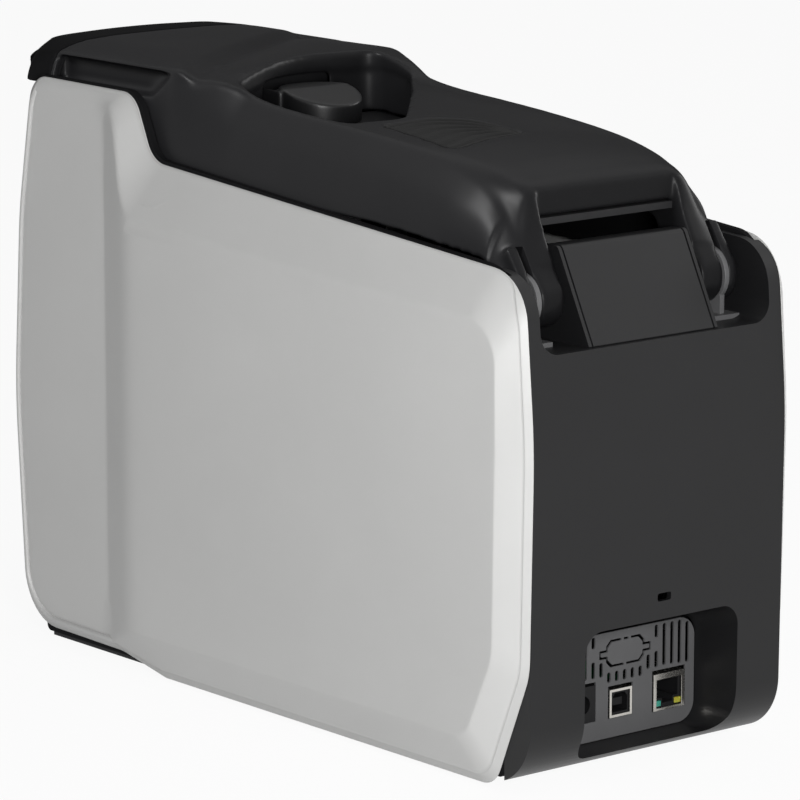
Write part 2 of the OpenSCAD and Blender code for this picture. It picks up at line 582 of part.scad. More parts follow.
// Side view of a hinge arm in (Y, Z)
arm_side = [[112, along(rail_pts, 112) - 3], for (y = [130, 140, 148, 157]) [y, along(shoulder_pts, y) - 1],
    [hinge_y + knuckle_r * 0.8, hinge_z + 7], [hinge_y, hinge_z], [hinge_y - knuckle_r, hinge_z + 2],
    [140, hinge_z + 22], [112, liner_at(112) + liner_t]];
module top_cover() {
    color("#232323") difference() {
        union() {
            difference() {
                lid_shell(0, wall);
                // recess under the brim
                both_sides() along_x(recess_x, 20) polygon([[hood_seam - 1, recess_z0], [-74, recess_z0],
                    [-58, brim_z], [hood_seam - 1, brim_z]]);
                linear_extrude(300) polygon(rounded(pocket_edge));
                // the middle stops at the lip, the arms run on
                block([-arm_x0, lip_y, 180], [arm_x0, 200, 300]);
            }
            // recess walls and their lower flanges
            both_sides() {
                along_x(recess_x - wall, wall) polygon([[hood_seam + 1, 258], [-74, 258], [-57, brim_z + 1],
                    [hood_seam + 1, brim_z + 1]]);
                block([recess_x - wall + 1, hood_seam + 1, recess_z0 - 2], [lid_x - 0.2, -80, recess_z0]);
            }
            // pocket wall, trimmed to the lid's surface
            intersection() {
                lid_solid(0.6, -64, 60);
                difference() {
                    linear_extrude(300) polygon(rounded(grown(pocket_edge, pocket_c, 2)));
                    linear_extrude(300) polygon(rounded(pocket_edge));
                    along_x(-60, 120) polygon([[-80, 0], [80, 0], [80, liner_at(80) + liner_t],
                        [-80, liner_at(-62) + liner_t + 1.6]]);
                    // the lever passes through the front wall
                    block([-lever_r - 1.5, -70, 200], [lever_r + 1.5, -38, lever_top + 2.3]);
                    block([-28.5, -70, 200], [28.5, -38, lever_pivot[1] + 4]);
                }
            }
            // lip over the gap in front of the sloped cover
            block([-arm_x0, lip_y - wall, liner_at(tail_y) + liner_t + 0.8],
                [arm_x0, lip_y, along(rail_pts, lip_y) - 0.5]);
            both_sides() {
                along_x(arm_x0, wall) polygon(arm_side);
                along_x(arm_x1 - wall, wall) polygon(arm_side);
                along_x(slot_x1, wall) polygon(arm_side);
                rod_x(knuckle_r, arm_x0, arm_x1, hinge_y, hinge_z);
                rod_x(knuckle_r, slot_x1, ear_x, hinge_y, hinge_z);
                // lugs of the latch bar
                block([50, hook_pivot[0] - 4, hook_pivot[1] - 4], [53.5, hook_pivot[0] + 4, hood_top - 4]);
            }
            // posts that carry the liner
            for (x = [-30, 30], y = [75, 125])
                translate([x, y, liner_at(y - post_r) + liner_t]) cylinder(r = post_r,
                    h = along(rail_pts, y) - 1.2 - liner_at(y - post_r) - liner_t);
        }
        // grip recess
        intersection() {
            linear_extrude(300) polygon(rounded(grown(grip_edge, grip_c, 0.5)));
            lid_shell(-2, grip_depth + 0.2, 32, 110);
        }
        // slots for the hinge brackets, and bores
        both_sides() {
            block([arm_x1, 138, hinge_z - knuckle_r - 4], [slot_x1, 180, 222]);
            rod_x(hinge_pin_r + run, arm_x0 - 1, ear_x + 1, hinge_y, hinge_z);
            rod_x(hook_bar_r + run, 49, 55, hook_pivot[0], hook_pivot[1], 24);
        }
        // the knuckles need room over the pocket's floor
        block([-100, 140, 150], [100, 200, hinge_z - knuckle_r + 0.01]);
    }
}
module grip_pad() {
    color("#2c2c2c") difference() {
        intersection() {
            linear_extrude(300) polygon(rounded(grip_edge));
            lid_shell(0, grip_depth, 32, 110);
        }
        // curved grooves
        for (i = [0:4]) translate([-14, 96, 0]) difference() {
            translate([32 - 3 * i, -6 + 4 * i, 200]) cylinder(r = 50 - 7 * i, h = 100);
            translate([32 - 3 * i, -6 + 4 * i, 199]) cylinder(r = 47.5 - 7 * i, h = 102);
            translate([0, 0, 190]) cylinder(r = 6, h = 120);
            translate([-60, -60, 190]) cube([120, 120, along(crown_pts, 80) - 190 - 6]);
        }
    }
}
// The hood is a cup, closed below and in front and open towards the lid
function hood_ring(y, d) = let (floor_z = along(edge_pts, y) + 0.6 * d)
    [for (p = arch(y, d)) [p.x, p.y, max(p.z, floor_z)]];
module hood_trim() {
    ys = [hood_front, hood_front + 2, hood_front + 6, lip_back_y - 1, lip_back_y + 1, -170, -160, hood_seam];
    color("#202020") loft(concat(
        [for (y = ys) hood_ring(y, 0)],
        [for (y = rev(ys)) if (y > hood_front + 3) hood_ring(y, wall)]));
}
liner_in = 9.9;                  // the liner ends this far inside the lid's edge
module lid_liner() {
    x1 = lid_x - liner_in;
    color("#2a2a2a") difference() {
        union() {
            along_x(-x1, 2 * x1) polygon([[-56, liner_at(-56)], [147, liner_at(147)],
                [147, liner_at(147) + liner_t], [-56, liner_at(-56) + liner_t]]);
            // rear strip under the lip
            block([-arm_x0 + clear, 145, liner_at(147)], [arm_x0 - clear, lip_y, liner_at(147) + liner_t]);
            block([-31, -14, head_top], [31, 14, liner_at(14) + 0.5]);
            both_sides() block([23.5, lever_pivot[0] - 4, liner_at(-46)],
                [27, lever_pivot[0] + 4, lever_pivot[1] + 3]);
        }
        both_sides() {
            rod_x(lever_pin_r + run, 20, 30, lever_pivot[0], lever_pivot[1], 24);
            // room for the arms' inner walls
            block([arm_x0 - clear, 111, 200], [x1 + 1, 160, 260]);
        }
    }
}

// ---- release lever and latch ---------------------------------------------------
lever_pivot = [-52, 251];
lever_pin_r = 1.5;
lever_top = 262.5;
lever_r = 21;
module release_lever() {
    y_tip = lever_pivot[0] + lever_reach - 6;
    color("#303030") {
        intersection() {
            translate([0, y_tip - lever_r, 247]) cylinder(r = lever_r, h = lever_top - 247, $fn = 96);
            union() {
                block([-lever_r, lever_pivot[0] - 2, lever_top - 3], [lever_r, 0, lever_top]);
                difference() {
                    block([-lever_r, lever_pivot[0] - 2, 247], [lever_r, 0, lever_top]);
                    translate([0, y_tip - lever_r, 246]) cylinder(r = lever_r - 2.5, h = 30, $fn = 96);
                }
            }
        }
        rod_x(lever_pin_r, -27, 27, lever_pivot[0], lever_pivot[1], 24);
        both_sides() block([16, lever_pivot[0] - 2, lever_pivot[1] - 3], [20, lever_pivot[0] + 12, lever_top - 1]);
    }
}
hook_len = 17;
module latch_hooks() {
    color("#8d8d8d") {
        rod_x(hook_bar_r, -54, 54, hook_pivot[0], hook_pivot[1], 24);
        both_sides() along_x(44, 4) polygon([
            [hook_pivot[0] - 3, hook_pivot[1] + 3], [hook_pivot[0] - 3, hook_pivot[1] - hook_len + 3],
            [hook_pivot[0] - 5, hook_pivot[1] - hook_len + 1], [hook_pivot[0] - 2, hook_pivot[1] - hook_len - 1],
            [hook_pivot[0] + 3, hook_pivot[1] - hook_len + 1], [hook_pivot[0] + 3, hook_pivot[1] + 3]]);
    }
}

// ---- hinge ---------------------------------------------------------------------
bracket_x0 = arm_x1 + clear;
bracket_x1 = slot_x1 - clear;
module hinge_brackets() {
    color("#8a8a8a") both_sides() difference() {
        union() {
            rod_x(knuckle_r, bracket_x0, bracket_x1, hinge_y, hinge_z);
            block([bracket_x0, hinge_y - 7, pocket_z], [bracket_x1, hinge_y + 9, hinge_z]);
            block([bracket_x0 - 6, hinge_y - 9, pocket_z], [bracket_x1 + 6, hinge_y + 12, pocket_z + 2]);
        }
        rod_x(hinge_pin_r + run, bracket_x0 - 1, bracket_x1 + 1, hinge_y, hinge_z);
    }
}
module hinge_pins() {
    color("#b0b0b0") both_sides() rod_x(hinge_pin_r, arm_x0 + 0.4, ear_x - 0.4, hinge_y, hinge_z);
}

// ---- front ---------------------------------------------------------------------
fascia_top = column_top - 4.5;
fascia_base = column_base + 1;
door_z0 = 131.5;
door_gap = 0.5;
door_pin = [front_y + 6.6, door_z0 + 5];   // (Y, Z) of the door's hinge
door_pin_r = 1.8;
door_back_y = front_y + 16.5;
catch_y = hook_pivot[0] - 6;
// Front surface in (Y, Z), d inside it
function fascia_outline(d) = rounded([
    [-140, fascia_base + d, 1], [front_y + 9 + d, fascia_base + d, 12 - d], [front_y + 3 + d, belly_z, 300],
    [front_y + 9 + d, 205, 150], [front_y + 17 + d, fascia_top - d, 3], [catch_y, fascia_top - d, 1],
    [catch_y, fascia_top - 8, 1], [-140, fascia_top - 10, 1]]);
display_at = [-9, 231];          // (X, Z) centre of the display
keys_x = 33;
power_z = 241;
menu_z = 228;
select_z = 218;
key_w = 15;
key_h = 5.5;
slot_z = 119;                    // single card slot
bin_z0 = 28;
bin_z1 = 106;
module key_shape(grow) {
    translate([keys_x, power_z]) circle(r = key_r + grow);
    for (z = [menu_z, select_z]) translate([keys_x, z]) pill(key_w + 2 * grow, key_h + 2 * grow, 2.4 + grow);
}
// The moulded face between offsets d0 and d1
module face_band(d0, d1, x) {
    along_x(-x, 2 * x) difference() {
        polygon(fascia_outline(d0));
        polygon(fascia_outline(d1));
        translate([front_y + 23, 0]) square([200, 300]);
    }
}
module front_fascia() {
    color("#1b1b1b") difference() {
        union() {
            difference() {
                along_x(-lid_x, 2 * lid_x) polygon(fascia_outline(0));
                along_x(-lid_x + wall, 2 * (lid_x - wall)) polygon([for (p = fascia_outline(wall))
                    [p.x > -145 && p.y < fascia_top - 5 ? -100 : p.x, p.y]]);
                block([-100, front_y + 22, 0], [100, -100, fascia_top - wall]);
            }
            // lugs of the hopper door
            both_sides() block([door_w / 2 + 1.2, door_pin[0] - 3, door_pin[1] - 4],
                [door_w / 2 + 4.2, door_pin[0] + 4, door_pin[1] + 4]);
        }
        block([-door_w / 2 - door_gap, -200, door_z0 - 1.5],
            [door_w / 2 + door_gap, door_back_y, door_z0 + door_h + door_gap]);
        both_sides() rod_x(door_pin_r + run, door_w / 2 - 2, door_w / 2 + 5, door_pin[0], door_pin[1], 24);
        translate([0, 0, slot_z]) along_y(-200, 60) pill(card_w + 5, 5, 2);
        along_y(-200, 60) polygon(rounded([[-bin_w / 2, bin_z0, 8], [bin_w / 2, bin_z0, 8],
            [bin_w / 2, bin_z1, 12], [-bin_w / 2, bin_z1, 12]]));
        translate([display_at[0], 0, display_at[1]]) along_y(-200, 55)
            pill(display_w + 2 * door_gap, display_h + 2 * door_gap, 2.5);
        along_y(-200, 55) key_shape(clear);
        // the catch for the latch hooks
        both_sides() block([43, catch_y - 2, fascia_top - 12], [49, catch_y + 2, fascia_top - 6]);
    }
}
module display_window() {
    color("#0c1014") intersection() {
        face_band(0.1, 1.9, 60);
        translate([display_at[0], 0, display_at[1]]) along_y(-200, 60) pill(display_w, display_h, 2);
    }
}
// A key through the fascia with its stem down to the panel board
module key_body(x, z) {
    intersection() {
        face_band(-0.5, 2.4, 60);
        children();
    }
    rod_y(1.6, front_y + 11, panel_board_y - switch_h - key_travel - clear, x, z, 24);
    intersection() {
        face_band(2, 3.2, 60);
        translate([x, 0, z]) along_y(-200, 60) circle(r = 2.4);
    }
}
key_travel = 1.2;
switch_h = 0.9;                  // height of the small switches behind the keys
panel_board_y = front_y + 21;
module power_key() {
    color("#3a3a3a") key_body(keys_x, power_z)
        translate([keys_x, 0, power_z]) along_y(-200, 60) circle(r = key_r);
}
module menu_key() {
    color("#3a3a3a") key_body(keys_x, menu_z)
        translate([keys_x, 0, menu_z]) along_y(-200, 60) pill(key_w, key_h, 2.4);
}
module select_key() {
    color("#3a3a3a") key_body(keys_x, select_z)
        translate([keys_x, 0, select_z]) along_y(-200, 60) pill(key_w, key_h, 2.4);
}
module panel_board() {
    color("#1f5a34") {
        block([-40, panel_board_y, 212], [48, panel_board_y + board_t, 251]);
        for (z = [power_z, menu_z, select_z])
            block([keys_x - 3, panel_board_y - switch_h, z - 3], [keys_x + 3, panel_board_y, z + 3]);
        block([display_at[0] - display_w / 2 + 2, panel_board_y - 2.7, display_at[1] - display_h / 2 + 2],
            [display_at[0] + display_w / 2 - 2, panel_board_y, display_at[1] + display_h / 2 - 2]);
        both_sides() block([36, panel_board_y, 246], [lid_x - wall, panel_board_y + board_t, 251]);
    }
}
module hopper_door() {
    color("#262626") difference() {
        union() {
            intersection() {
                face_band(0, 2.2, door_w / 2);
                block([-door_w / 2, -200, door_z0], [door_w / 2, -150, door_z0 + door_h]);
            }
            rod_x(door_pin_r, -door_w / 2 - 4, door_w / 2 + 4, door_pin[0], door_pin[1], 24);
            both_sides() block([door_w / 2 - 4, door_pin[0] - 3.5, door_pin[1] - 2],
                [door_w / 2, door_pin[0] + 1, door_pin[1] + 2]);
        }
        // finger notch
        translate([0, 0, door_z0 + door_h + 2]) along_y(-200, 60) circle(r = 11);
    }
}

// ---- hoppers and cards -----------------------------------------------------------
plate_x = 36;                    // inner face of the steel plates
hopper_x = card_w / 2 + 1;
hopper_wall = 2.5;
gate_y = -70;
card_y0 = gate_y - clear - card_l;
module input_hopper() {
    color("#3b3b3b") difference() {
        union() {
            block([-hopper_x - hopper_wall, card_y0, card_z - 2.8], [hopper_x + hopper_wall, gate_y, card_z - 0.3]);
            both_sides() {
                block([hopper_x, card_y0, card_z - 1], [hopper_x + hopper_wall, gate_y, card_z + 66]);
                block([hopper_x + hopper_wall - eps, -108, card_z + 14], [plate_x, -84, card_z + 17]);
            }
            block([-hopper_x - 1, gate_y, card_z + 1.4], [hopper_x + 1, gate_y + 2, card_z + 66]);
            both_sides() block([hopper_x, gate_y - 1, card_z - 2], [hopper_x + hopper_wall, gate_y + 2, card_z + 66]);
        }
        block([-roller_l / 2 - 1, pick_y - roller_r - 1.5, card_z - 10],
            [roller_l / 2 + 1, pick_y + roller_r + 1.5, card_z + 0.5]);
        both_sides() block([hopper_x - 1, -140, card_z + 20], [hopper_x + 5, -100, card_z + 52]);
    }
}
module card_stack() {
    color("#f0f0ee") for (i = [0:2])
        block([-card_w / 2 + 0.2 * i, card_y0, card_z + i * stack_h / 3],
            [card_w / 2 - 0.4 + 0.2 * i, card_y0 + card_l, card_z + (i + 1) * stack_h / 3 - (i < 2 ? 0 : 0.2)]);
}
module card_weight() {
    z0 = card_z + stack_h + 0.1;
    color("#4a4a4a") {
        block([-card_w / 2 + 2, card_y0 + 12, z0], [card_w / 2 - 2, gate_y - 6, z0 + 3]);
        block([-6, card_y0 + 12, z0 + 2], [6, card_y0 + 15, z0 + 12]);
        both_sides() block([8, card_y0 + 24, z0 + 2], [11, gate_y - 16, z0 + 6]);
    }
}
module output_tray() {
    color("#2f2f2f") {
        difference() {
            block([-plate_x, front_y + 12, bin_z0 - 5], [plate_x, -78, bin_z1 - 2]);
            block([-plate_x + 2, front_y - 10, bin_z0 - 2.5], [plate_x - 2, -80, bin_z1]);
            along_y(-200, 75) translate([0, bin_z0 + 1]) circle(r = 17);
        }
        // legs on the pan's floor
        for (x = [-28, 28], y = [-146, -90]) block([x - 2, y, pan_z + wall], [x + 2, y + 8, bin_z0 - 4]);
    }
}

// ---- feed train --------------------------------------------------------------------
roller_z = card_z - 0.3 - roller_r;
pitch_r = gear_m * gear_teeth / 2;
gear_step = 2 * pitch_r + 0.1;   // centre distance with a little play
pinion_r = gear_m * pinion_teeth / 2;
pinion_drop = pitch_r + pinion_r + 0.1;
gear_x = 40.2;
platen_y = 0;
pick_y = platen_y - 4 * gear_step;
feed_front_y = platen_y - 2 * gear_step;
feed_rear_y = platen_y + 2 * gear_step;
motor_y = platen_y - gear_step;
idler_pin_r = 2.5;
pressure = 25;                   // pressure angle
function involute(a) = tan(a) - a * PI / 180;
// Half angle of a tooth at radius r
function tooth_half(n, rp, rb, r) =
    90 / n - 0.35 + (involute(pressure) - involute(acos(min(1, rb / max(r, rb))))) * 180 / PI;
module gear_2d(n, turned) {
    rp = gear_m * n / 2;
    rb = rp * cos(pressure);
    root = rp - 1.2 * gear_m;
    tip = rp + 0.92 * gear_m;
    radii = [for (k = [0:4]) mix(max(root, rb), tip, k / 4)];
    rotate(turned) polygon([for (i = [0:n - 1])
        let (a = 360 * i / n, w = tooth_half(n, rp, rb, radii[0]))
        each concat([root * [cos(a - w), sin(a - w)]],
            [for (r = radii) let (h = tooth_half(n, rp, rb, r)) r * [cos(a - h), sin(a - h)]],
            [for (r = rev(radii)) let (h = tooth_half(n, rp, rb, r)) r * [cos(a + h), sin(a + h)]],
            [root * [cos(a + w), sin(a + w)]])]);
}
half_tooth = 180 / gear_teeth;
module gear(y, turned) {
    translate([0, y, roller_z]) {
        along_x(gear_x, gear_w) gear_2d(gear_teeth, turned);
        rod_x(5, plate_x + plate_t + clear, gear_x + eps, 0, 0);
    }
}
module roller_shaft(y) {
    color("#d8d8d8") {
        gear(y, 0);
        rod_x(shaft_r, -plate_x - plate_t - 2, gear_x + gear_w, y, roller_z);
    }
}
module roller_sleeve(y, r = roller_r) {
    color("#333333") difference() {
        rod_x(r, -roller_l / 2, roller_l / 2, y, roller_z, 64);
        rod_x(shaft_r, -roller_l, roller_l, y, roller_z);
    }
}
module idler_gear(y) {
    color("#e6e2d4") difference() {
        gear(y, half_tooth);
        rod_x(idler_pin_r + run, gear_x - 5, gear_x + gear_w + 1, y, roller_z);
    }
}
module platen_shaft() { roller_shaft(platen_y); }
module platen_roller() { roller_sleeve(platen_y); }
module feed_shaft_front() { roller_shaft(feed_front_y); }
module feed_roller_front() { roller_sleeve(feed_front_y); }
module feed_shaft_rear() { roller_shaft(feed_rear_y); }
module feed_roller_rear() { roller_sleeve(feed_rear_y); }
module pick_shaft() { roller_shaft(pick_y); }
module pick_roller() { roller_sleeve(pick_y); }
module idler_gear_pick() { idler_gear(platen_y - 3 * gear_step); }
module idler_gear_front() { idler_gear(motor_y); }
module idler_gear_rear() { idler_gear(platen_y + gear_step); }
motor_z = roller_z - pinion_drop;
motor_shaft_r = 1.5;
module motor_pinion() {
    color("#d2b46a") translate([0, motor_y, motor_z]) {
        along_x(gear_x, gear_w) gear_2d(pinion_teeth, 90);
        rod_x(motor_shaft_r, 12, gear_x + gear_w, 0, 0, 24);
    }
}
motor_r = 15;
module feed_motor() {
    color("#9a9a9a") difference() {
        union() {
            rod_x(motor_r, 6, plate_x - 1.2, motor_y, motor_z);
            block([plate_x - 1.2, motor_y - 19, motor_z - 9], [plate_x, motor_y + 19, motor_z + 9]);
        }
        rod_x(motor_shaft_r + run, 11, plate_x + 1, motor_y, motor_z, 24);
    }
}
// Pinch rollers that press the card down
pinch_r = 4;
pinch_z = card_z + 0.76 + clear + pinch_r;
module pinch_roller(y) {
    color("#4a4a4a") {
        rod_x(pinch_r, -roller_l / 2, roller_l / 2, y, pinch_z);
        rod_x(2, -plate_x - plate_t - 1, plate_x + plate_t + 1, y, pinch_z, 24);
    }
}
module pinch_roller_front() { pinch_roller(feed_front_y); }
module pinch_roller_rear() { pinch_roller(feed_rear_y); }

plate_rear = 80;
plate_front = -112;
plate_top = 172;
module chassis_plates() {
    color("#b8bcc0") difference() {
        union() {
            both_sides() difference() {
                union() {
                    along_x(plate_x, plate_t) polygon(rounded([
                        [plate_front, pan_z + wall, 2], [plate_rear, pan_z + wall, 2], [plate_rear, plate_top, 6],
                        [-62, plate_top, 6], [-66, card_z + 22, 3], [plate_front, card_z + 20, 6]]));
                    for (y = [plate_front + 6, plate_rear - 22])
                        block([plate_x, y, pan_z + wall], [plate_x + 12, y + 16, pan_z + wall + plate_t]);
                }
                for (w = [[-70, -46, 20, 100], [10, 70, 20, 60], [10, 70, 72, 112]])
                    along_x(plate_x - 1, plate_t + 2) polygon(window(w[0], w[1], w[2], w[3]));
                for (y = [pick_y, feed_front_y, platen_y, feed_rear_y])
                    rod_x(shaft_r + run, plate_x - 1, plate_x + plate_t + 1, y, roller_z);
                for (y = [feed_front_y, feed_rear_y])
                    rod_x(2 + run, plate_x - 1, plate_x + plate_t + 1, y, pinch_z, 24);
                for (y = [plate_front + 14, plate_rear - 14])
                    translate([plate_x + 8, y, 0]) cylinder(r = screw_r + 0.2, h = 20, $fn = 24);
            }
            // idler pins on the gear side
            for (y = [platen_y - 3 * gear_step, motor_y, platen_y + gear_step])
                rod_x(idler_pin_r, plate_x + plate_t - 0.5, gear_x + gear_w + 0.6, y, roller_z);
            // tie rods
            for (p = [[-74, 36], [74, 36], [74, 120], [-58, 156]])
                rod_x(2.5, -plate_x - 0.5, plate_x + 0.5, p[0], p[1]);
        }
        rod_x(motor_shaft_r + 2, plate_x - 0.5, plate_x + plate_t + 1, motor_y, motor_z, 24);
    }
}
screw_r = 1.5;
module chassis_screws() {
    color("#c9c9c9") both_sides() for (y = [plate_front + 14, plate_rear - 14])
        translate([plate_x + 8, y, pan_z + wall + plate_t]) {
            difference() {
                cylinder(r = 3, h = 1.8, $fn = 32);
                translate([0, 0, 0.9]) cylinder(r = 1.4, h = 1, $fn = 6);
            }
            translate([0, 0, -plate_t]) cylinder(r = screw_r, h = plate_t + eps, $fn = 24);
        }
}

// ---- ribbon --------------------------------------------------------------------------
spool_l = 56;
journal_r = 4;
cart_x0 = 31;
cart_t = 2;
module spool(y, r, c) {
    color(c) {
        rod_x(r, -spool_l / 2 + 2, spool_l / 2 - 2, y, spool_z, 72);
        both_sides() rod_x(8, spool_l / 2 - 2 - eps, cart_x0 - clear, y, spool_z);
        both_sides() rod_x(journal_r, cart_x0 - clear - eps, cart_x0 + cart_t + 1, y, spool_z);
    }
}
module supply_spool() { spool(spool_y, supply_r, "#b4862f"); }
module takeup_spool() { spool(-spool_y, takeup_r, "#3a3f52"); }
lug_y = 62;
module ribbon_cartridge() {
    color("#d9d9d4") {
        both_sides() difference() {
            union() {
                along_x(cart_x0, cart_t) polygon(rounded([
                    [-lug_y - 6, plate_top - 12, 2], [-lug_y + 4, plate_top - 12, 2],
                    [-lug_y + 4, spool_z - 9, 3], [lug_y - 4, spool_z - 9, 3], [lug_y - 4, plate_top - 12, 2],
                    [lug_y + 6, plate_top - 12, 2], [lug_y + 6, spool_z + 9, 6], [-lug_y - 6, spool_z + 9, 6]]));
                for (s = [-1, 1]) block([cart_x0 + cart_t - eps, s * lug_y - 3, plate_top - 11],
                    [plate_x, s * lug_y + 3, plate_top - 6]);
            }
            for (s = [-1, 1]) rod_x(journal_r + run, cart_x0 - 1, cart_x0 + cart_t + 1, s * spool_y, spool_z);
        }
        // cross bars
        for (y = [-lug_y - 3, lug_y + 3])
            block([-cart_x0 - 0.5, y - 2, plate_top - 11], [cart_x0 + 0.5, y + 2, plate_top - 5]);
    }
}
film_t = 0.3;
film_z = card_z + 0.8;
// Point where a line from p touches the circle (c, r)
function tangent_at(p, c, r, side) =
    let (v = c - p, d = norm(v), a = atan2(v.y, v.x) + side * asin(r / d), l = sqrt(d * d - r * r))
    p + l * [cos(a), sin(a)];
module ribbon_film() {
    a = [8, film_z];
    b = [-8, film_z];
    s = tangent_at(a, [spool_y, spool_z], supply_r + 2 * film_t, 1);
    t = tangent_at(b, [-spool_y, spool_z], takeup_r + 2 * film_t, -1);
    up = [0, film_t];
    color("#2f3350") along_x(-card_w / 2 + 1, card_w - 2)
        polygon([a, s, s + up, a + up, b + up, t + up, t, b]);
}

// ---- print head -----------------------------------------------------------------------
head_top = 234;
head_base = film_z + film_t + clear;
head_w = card_w - 2;
head_pin_z = head_base + 14;
module printhead() {
    color("#c9ccd0") {
        block([-head_w / 2, -4, head_base], [head_w / 2, 4, head_base + 4]);
        difference() {
            block([-head_w / 2, -8, head_base + 4 - eps], [head_w / 2, 8, head_base + 20]);
            for (i = [0:6]) translate([-head_w / 2 + 5 + 6.2 * i, -9, head_base + 9]) cube([3, 4.5, 12]);
        }
        rod_x(1.5, -head_w / 2 - 3, head_w / 2 + 3, 0, head_pin_z, 24);
    }
}
module head_carriage() {
    shelf = head_base + 34;
    color("#aeb2b6") difference() {
        union() {
            both_sides() block([head_w / 2 + 0.6, -9, head_base + 8], [head_w / 2 + 2.2, 9, head_top]);
            block([-head_w / 2 - 2.2, -12, head_top - 1.6], [head_w / 2 + 2.2, 12, head_top]);
            block([-head_w / 2 - 1, -9, shelf], [head_w / 2 + 1, 9, shelf + 1.6]);
        }
        rod_x(1.5 + run, -40, 40, 0, head_pin_z, 24);
        both_sides() rod_x(4, head_w / 2, head_w / 2 + 4, 0, head_base + 60);
    }
}
spring_x = 16;
spring_r = 3.5;
wire_r = 0.73;
module head_springs() {
    z0 = head_base + 20 + wire_r;
    z1 = head_base + 34 - wire_r;
    turns = 10;
    color("#9c9c9c") both_sides() translate([spring_x, 3, 0]) for (i = [0:turns])
        translate([0, 0, mix(z0, z1, i / turns)]) rotate_extrude($fn = 32) translate([spring_r, 0])
            circle(r = wire_r, $fn = 16);
}

base_pan();
rubber_feet();
side_frame_right();
side_frame_left();
side_trims();
side_panel_right();
side_panel_left();
rear_cover();
hinge_cover();
port_plate();
dc_jack();
port_shells();
port_inserts();
lan_lights();
main_board();
fan_frame();
fan_rotor();
top_cover();
grip_pad();
hood_trim();
lid_liner();
release_lever();
latch_hooks();
hinge_brackets();
hinge_pins();
front_fascia();
display_window();
power_key();
menu_key();
select_key();
panel_board();
hopper_door();
input_hopper();
card_stack();
card_weight();
output_tray();
platen_shaft();
platen_roller();
feed_shaft_front();
feed_roller_front();
feed_shaft_rear();
feed_roller_rear();
pick_shaft();
pick_roller();
idler_gear_pick();
idler_gear_front();
idler_gear_rear();
motor_pinion();
feed_motor();
pinch_roller_front();
pinch_roller_rear();
chassis_plates();
chassis_screws();
supply_spool();
takeup_spool();
ribbon_cartridge();
ribbon_film();
printhead();
head_carriage();
head_springs();
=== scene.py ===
import math

import bmesh
import bpy
import numpy as np
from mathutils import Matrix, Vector
from mathutils.bvhtree import BVHTree


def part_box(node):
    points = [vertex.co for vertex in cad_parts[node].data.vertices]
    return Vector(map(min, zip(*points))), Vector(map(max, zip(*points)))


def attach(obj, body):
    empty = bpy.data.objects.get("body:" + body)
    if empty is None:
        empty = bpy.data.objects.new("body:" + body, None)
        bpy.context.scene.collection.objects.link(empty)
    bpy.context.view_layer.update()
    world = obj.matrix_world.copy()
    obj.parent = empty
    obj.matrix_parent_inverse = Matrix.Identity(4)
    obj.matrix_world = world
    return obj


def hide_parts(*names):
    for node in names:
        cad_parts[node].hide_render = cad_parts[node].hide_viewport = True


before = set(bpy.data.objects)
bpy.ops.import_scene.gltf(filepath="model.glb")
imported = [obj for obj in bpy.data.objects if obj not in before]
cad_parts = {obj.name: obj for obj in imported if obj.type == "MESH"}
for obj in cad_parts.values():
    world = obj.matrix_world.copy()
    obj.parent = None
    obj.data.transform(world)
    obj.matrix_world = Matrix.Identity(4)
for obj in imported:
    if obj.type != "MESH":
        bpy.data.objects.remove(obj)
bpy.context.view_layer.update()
mm = 0.001
scene = bpy.context.scene


def cornersOf(node):
    low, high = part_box(node)
    return np.array(low) / mm, np.array(high) / mm  # millimetres, as all shapes below


# camera first: a long lens (in mm) behind and to the right, a little above; its places are in metres
cameraView = {"lens": 216, "target": (-0.0174, -0.0024, 0.1252), "distance": 2.118,
              "direction": (0.6229, 0.7567, 0.1985)}
cameraData = bpy.data.cameras.new("studioCamera")
cameraData.lens = cameraView["lens"]
camera = bpy.data.objects.new("studioCamera", cameraData)
scene.collection.objects.link(camera)
towards = Vector(cameraView["direction"]).normalized()
camera.location = Vector(cameraView["target"]) + cameraView["distance"] * towards
camera.rotation_euler = towards.to_track_quat("Z", "Y").to_euler()
scene.camera = camera
print("camera placed")


# outlines, curves and meshes
def unit(vector):
    return vector / np.linalg.norm(vector)


def spread(a, b, count):
    return [a + (b - a) * k / count for k in range(1, count)]


def roundedOutline(corners, arcSteps=12, straightSteps=1):
    # outline through (u, v, radius) corners, each turned into an arc
    points = []
    for i, here in enumerate(corners):
        a, b, c = (np.array(p[:2], float) for p in (corners[i - 1], here, corners[(i + 1) % len(corners)]))
        u, v = unit(a - b), unit(c - b)
        half = math.acos(max(-1, min(1, u @ v))) / 2
        radius = here[2]
        if radius == 0:
            arc = [b]
        else:
            start, centre = b + u * radius / math.tan(half), b + unit(u + v) * radius / math.sin(half)
            end = b + v * radius / math.tan(half)
            first = math.atan2(*(start - centre)[::-1])
            sweep = math.atan2(*(end - centre)[::-1]) - first
            sweep = (sweep + math.pi) % (2 * math.pi) - math.pi
            angles = [first + sweep * k / arcSteps for k in range(arcSteps + 1)]
            arc = [centre + radius * np.array([math.cos(q), math.sin(q)]) for q in angles]
        if points:
            points += spread(points[-1], arc[0], straightSteps)
        points += arc
    return np.array(points + spread(points[-1], points[0], straightSteps))


